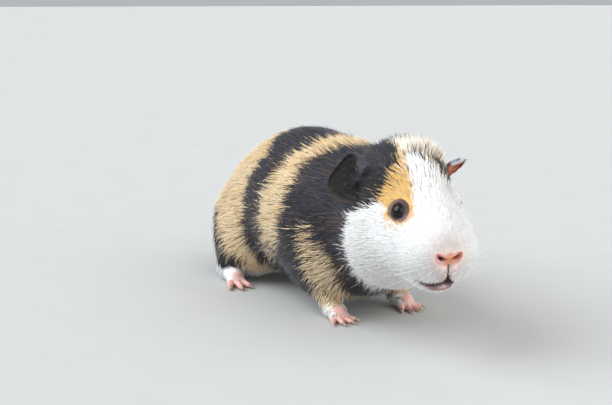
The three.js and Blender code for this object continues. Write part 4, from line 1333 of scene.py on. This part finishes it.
MOST_BODY, MOST_FACE = 12000, 18500
keep_mask = np.zeros(count, bool)
keep_mask[keep] = True
right = roots[:, 0] < 0
hr = q0[:, 0] < 0
foot_g = zone.foot > 0.5
face_g = head_w & ~foot_g
body_g = ~head_w & ~foot_g
key_y = roots[:, 1].astype(float)
key_h = q0[:, 1].astype(float)
for word, m, body_m in (("right", hr, right), ("left", ~hr, ~right)):
    ids = np.flatnonzero(keep_mask & face_g & m)
    split("coat_head_" + word, ids, key_h, int(math.ceil(len(ids) / MOST_FACE)))
    ids = np.flatnonzero(keep_mask & body_g & body_m)
    split("coat_body_" + word, ids, key_y, int(math.ceil(len(ids) / MOST_BODY)))
ids = np.flatnonzero(keep_mask & foot_g)
split("coat_feet", ids, key_y, int(math.ceil(len(ids) / MOST_FACE)))


def tuft_piece(P, N, W, c_root, c_mid, c_tip, profile):
    """Closed three-sided tufts along paths P, flat side to the skin, pointed at the end."""
    m = len(W)
    K = len(P) - 1
    tang = [unit(P[min(k + 1, K)] - P[max(k - 1, 0)]) for k in range(K + 1)]
    co, nn, cc, uv = [], [], [], []
    # place on an unwrap of the skin: six sides, each laid out flat
    n0 = N[0]
    axis = np.abs(n0).argmax(1)
    sign = (n0[np.arange(m), axis] > 0).astype(int)
    r = P[0]
    lo, hi = r.min(0), r.max(0)
    span = float((hi - lo).max())
    flat = np.where((axis == 0)[:, None], r[:, [1, 2]] - lo[[1, 2]], np.where((axis == 1)[:, None], r[:, [0, 2]] - lo[[0, 2]], r[:, [0, 1]] - lo[[0, 1]]))
    chart = axis * 2 + sign
    home = np.stack([(chart % 3) / 3, (chart // 3) / 2], -1)
    home = home + 0.012 + flat / span * 0.30
    for k in range(K):
        t = tang[k]
        b = unit(np.cross(t, N[k]))
        u = np.cross(b, t)
        wk = (W * profile[k])[:, None]
        base = P[k] - N[k] * (0.22 if k == 0 else 0.0)
        co += [base + b * wk * 0.5, base - b * wk * 0.5, base + u * wk * 0.42]
        nn += [unit(N[k] + b * 0.5), unit(N[k] - b * 0.5), unit(N[k] + u * 0.3)]
        x = k / K
        c = c_root if k == 0 else mix(c_mid, c_tip, max(0.0, 1.6 * x - 0.75))
        # the two lower edges of each tuft get 6% less colour than its ridge: painted shade on the side towards the skin
        cc += [c * 0.94, c * 0.94, c]
        v = -0.0012 + 0.0024 * x
        uv += [home + (0.0012, v), home + (-0.0012, v), home + (0.0, v)]
    co.append(P[K])
    nn.append(unit(N[K] + tang[K] * 0.3))
    cc.append(c_tip)
    uv.append(home + (0.0, 0.0012))
    V = 3 * K + 1
    CO = np.stack(co, 1).reshape(-1, 3)
    NN = np.stack(nn, 1).reshape(-1, 3)
    CC = np.stack(cc, 1).reshape(-1, 3)
    UV = np.stack(uv, 1).reshape(-1, 2)
    CO[:, 2] = np.maximum(CO[:, 2], 0.1)
    start = (np.arange(m) * V)[:, None]
    sides, ends = [], [[0, 1, 2]]
    # b is the left edge, -b the right edge, u the ridge
    for k in range(K - 1):
        o0, o1 = 3 * k, 3 * (k + 1)
        for a, b in ((0, 2), (2, 1), (1, 0)):
            sides.append([o0 + a, o0 + b, o1 + b, o1 + a])
    for a, b in ((0, 2), (2, 1), (1, 0)):
        ends.append([3 * (K - 1) + a, 3 * (K - 1) + b, 3 * K])
    f4 = (start[:, :, None] + np.array(sides)[None]).reshape(-1, 4)
    f3 = (start[:, :, None] + np.array(ends)[None]).reshape(-1, 3)
    return CO, [f3, f4], CC, NN, UV, V


total = 0
flip = None


def add_tufts(name, P, N, W, c_root, c_mid, c_tip, profile):
    global total, flip
    CO, faces, CC, NN, UV, V = tuft_piece(P, N, W, c_root, c_mid, c_tip, profile)
    if flip is None:
        f4 = faces[1]
        centre = CO.reshape(-1, V, 3).mean(1)
        own = centre[f4[:, 0] // V]
        face_n = np.cross(CO[f4[:, 1]] - CO[f4[:, 0]], CO[f4[:, 2]] - CO[f4[:, 0]])
        flip = ((CO[f4].mean(1) - own) * face_n).sum() < 0
    if flip:
        faces = [f[:, ::-1] for f in faces]
    ob = new_mesh(name, CO, faces, tint=CC, normals=NN, uv=UV)
    finish_piece(ob, FUR_MAT)
    triangles = len(faces[0]) + 2 * len(faces[1])
    total += triangles
    say("%s %d tufts, %d triangles" % (name, len(W), triangles))


for name, ids in groups:
    fine = "body" not in name
    knots = (0, 2, 3) if fine else (0, 1, 2, 3)
    add_tufts(
        name,
        [path[k][ids] for k in knots], [normals[k][ids] for k in knots], width[ids],
        root_c[ids], colour[ids], tip_c[ids], (0.8, 0.9) if fine else (0.62, 1.0, 0.72))


# hair of the ears: thin on the hollow side, closer on the back and the front fold
er = np.random.default_rng(8)
for name in ("right", "left"):
    point, thick = ear_surface(name)
    m = 1500
    P_, S_ = er.uniform(-88, 116, m), er.uniform(0.12, 0.97, m) ** 0.8
    on_back = er.random(m) < 0.7
    fold = (P_ > 84) | (S_ < 0.35)
    use = on_back | (er.random(m) < (np.where(fold, 1.0, 0.0) if name == "right" else np.where(S_ > 0.86, 0.5, 0.0) * (P_ > 50)))
    P_, S_, on_back = P_[use], S_[use], on_back[use]
    m = len(P_)
    sgn = np.where(on_back, -1.0, 1.0)
    reach = er.uniform(0.12, 0.26, m)
    drift = er.normal(2, 7, m)
    pts = []
    for k in range(3):
        x = k / 2
        S2 = S_ + reach * x
        off = sgn * (thick(S2) / 2 - 0.05 + 0.55 * x ** 1.3)
        pts.append(from_head(point(P_ + drift * x, S2, off)))
    d1 = from_head(point(P_ + 1.5, S_, sgn * thick(S_) / 2)) - pts[0]
    d2 = from_head(point(P_, S_ + 0.03, sgn * thick(S_) / 2)) - pts[0]
    nrm_e = unit(np.cross(d1, d2))
    out = from_head(point(P_, S_, sgn * (thick(S_) / 2 + 0.5))) - pts[0]
    nrm_e = nrm_e * np.sign((nrm_e * out).sum(-1, keepdims=True))
    grey = er.random(m)[:, None]
    # on the right ear the pale tufts on the front fold are painted sheen, with a few pale strays; on the left ear most
    # tufts are pale grey hair; dark tufts take some painted sheen too
    light = ((P_ > 80) * (er.random(m) < 0.7)) | (er.random(m) < (0.06 if name == "right" else 0.75))
    dark_c = mix(BLACK, SLATE_SHEEN, grey * 0.6)
    pale_and_sheen_c = mix(srgb(84, 84, 94), srgb(158, 158, 172), grey) if name == "right" else mix(srgb(168, 166, 176), srgb(236, 235, 238), grey)
    c_mid = np.where(light[:, None], pale_and_sheen_c, dark_c)
    add_tufts("coat_ear_" + name, pts, [nrm_e] * 3, er.uniform(0.14, 0.24, m), c_mid * 0.8, c_mid, c_mid * 1.05, (0.8, 0.9))
say("coat: %d triangles" % total)


# ---------------------------------------------------------------- whiskers
wr = np.random.default_rng(5)
lines = []
for side in (-1, 1):
    for i in range(15):
        row = i % 5
        col = i // 5
        q = np.array([side * (8.0 + 1.9 * col), -42.0 + 3.0 * col, -9.5 - 2.6 * row], float)
        # bring the root onto the skin
        p = from_head(q)[None].astype(F)
        for _ in range(6):
            g, d = slope(outline, p)
            p = p - g * (d + 0.6)[:, None]
        g = g[0]
        L = wr.uniform(10, 21) * (1 if row < 4 else 0.6)
        out = turn_out(unit(np.array([side * (0.75 + 0.1 * col), 0.15 + 0.3 * col + wr.normal(0, 0.12), 0.16 - 0.17 * row + wr.normal(0, 0.1)])))
        way = unit(out * 0.9 + g * 0.35)
        sag = np.array([0, 0.42 + wr.normal(0, 0.08), -0.20 + wr.normal(0, 0.15)])
        t = np.linspace(0, 1, 9)[:, None]
        pts = p[0] + way * L * t + sag * L * t ** 2 * 0.6
        lines.append((pts, 0.055 * (1 - t[:, 0]) ** 0.7 + 0.008))
    for i in range(3):
        at, look, across, up = eye_frame(side)
        q = at + look * 3.0 + up * (7.0 + 0.7 * i) + across * (2.0 - 1.4 * i) * side
        p = from_head(q)
        way = unit(turn_out(look * 0.5 + up * 0.9 + np.array([side * 0.15, -0.1, 0.1])) + wr.normal(0, 0.12, 3))
        L = wr.uniform(10, 16)
        t = np.linspace(0, 1, 8)[:, None]
        pts = p + way * L * t + turn_out(np.array([side * 0.35, 0.1, -0.3])) * L * t ** 2 * 0.6
        lines.append((pts, 0.05 * (1 - t[:, 0]) ** 0.7 + 0.008))
whiskers = tubes("whiskers", lines, 4)
finish_piece(whiskers, WHISKER_MAT)


# ---------------------------------------------------------------- floor, light and camera
def floor_material():
    m, t, bsdf = node_tree("floor")
    place = add(t, "ShaderNodeTexCoord")
    grain = add(t, "ShaderNodeTexNoise")
    grain.inputs["Scale"].default_value = 30
    link(t, place.outputs["Object"], grain.inputs["Vector"])
    ramp = add(t, "ShaderNodeValToRGB")
    ramp.color_ramp.elements[0].color = (0.49, 0.49, 0.48, 1)
    ramp.color_ramp.elements[1].color = (0.52, 0.52, 0.51, 1)
    link(t, grain.outputs["Fac"], ramp.inputs["Fac"])
    link(t, ramp.outputs["Color"], bsdf.inputs["Base Color"])
    bsdf.inputs["Roughness"].default_value = 0.9
    bsdf.inputs["Specular IOR Level"].default_value = 0.1
    return m


bpy.ops.mesh.primitive_plane_add(size=60, location=(0, 0, 0))
floor = bpy.context.active_object
floor.name = "floor"
floor.data.materials.append(floor_material())
floor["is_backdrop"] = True

world = bpy.data.worlds.new("studio")
SCENE.world = world
world.use_nodes = True
world.node_tree.nodes["Background"].inputs["Color"].default_value = (0.90, 0.95, 1.0, 1)
world.node_tree.nodes["Background"].inputs["Strength"].default_value = 0.5


def sky_lamp(name, way, wide, strength, colour):
    """A very wide soft lamp far away, shining from the direction way."""
    data = bpy.data.lights.new(name, "SUN")
    data.angle = math.radians(wide)
    data.energy = strength
    data.color = colour
    ob = bpy.data.objects.new(name, data)
    SCENE.collection.objects.link(ob)
    ob.location = [2.0 * c for c in way]
    ob.rotation_euler = Vector(way).to_track_quat("Z", "Y").to_euler()
    return ob


from mathutils import Vector
sky_lamp("key", (-0.678, 0.32, 0.66), 54, 2.9, (0.92, 0.96, 1.0))
sky_lamp("front", (0.05, -0.85, 0.55), 80, 2.2, (1.0, 0.985, 0.955))
sky_lamp("fill", (0.90, 0.20, 0.40), 100, 0.7, (1.0, 1.0, 1.0))

CAM_AZ, CAM_EL, CAM_DIST, CAM_F = -31.01, 10.91, 579.7, 1046.86
TARGET = (np.array([-27.8, -3.1, 62.2]) + ORIGIN_SHIFT) * 0.001
a, e = math.radians(CAM_AZ), math.radians(CAM_EL)
back = np.array([math.sin(a) * math.cos(e), -math.cos(a) * math.cos(e), math.sin(e)])
cam_data = bpy.data.cameras.new("camera")
cam = bpy.data.objects.new("camera", cam_data)
SCENE.collection.objects.link(cam)
cam.location = Vector(TARGET + back * CAM_DIST * 0.001)
cam.rotation_euler = Vector(-back).to_track_quat("-Z", "Y").to_euler()
cam_data.sensor_fit = "HORIZONTAL"
cam_data.sensor_width = 36.0
cam_data.lens = CAM_F * 36.0 / 612
cam_data.clip_start = 0.01
cam_data.clip_end = 100
SCENE.camera = cam
SCENE.view_settings.view_transform = "Standard"
SCENE.view_settings.look = "None"
SCENE.view_settings.exposure = 0.0

say("done")
lists = lambda box: [[float(v) for v in corner] for corner in box]
{"cad": lists(CAD_BOX), "visual": lists(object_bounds())}
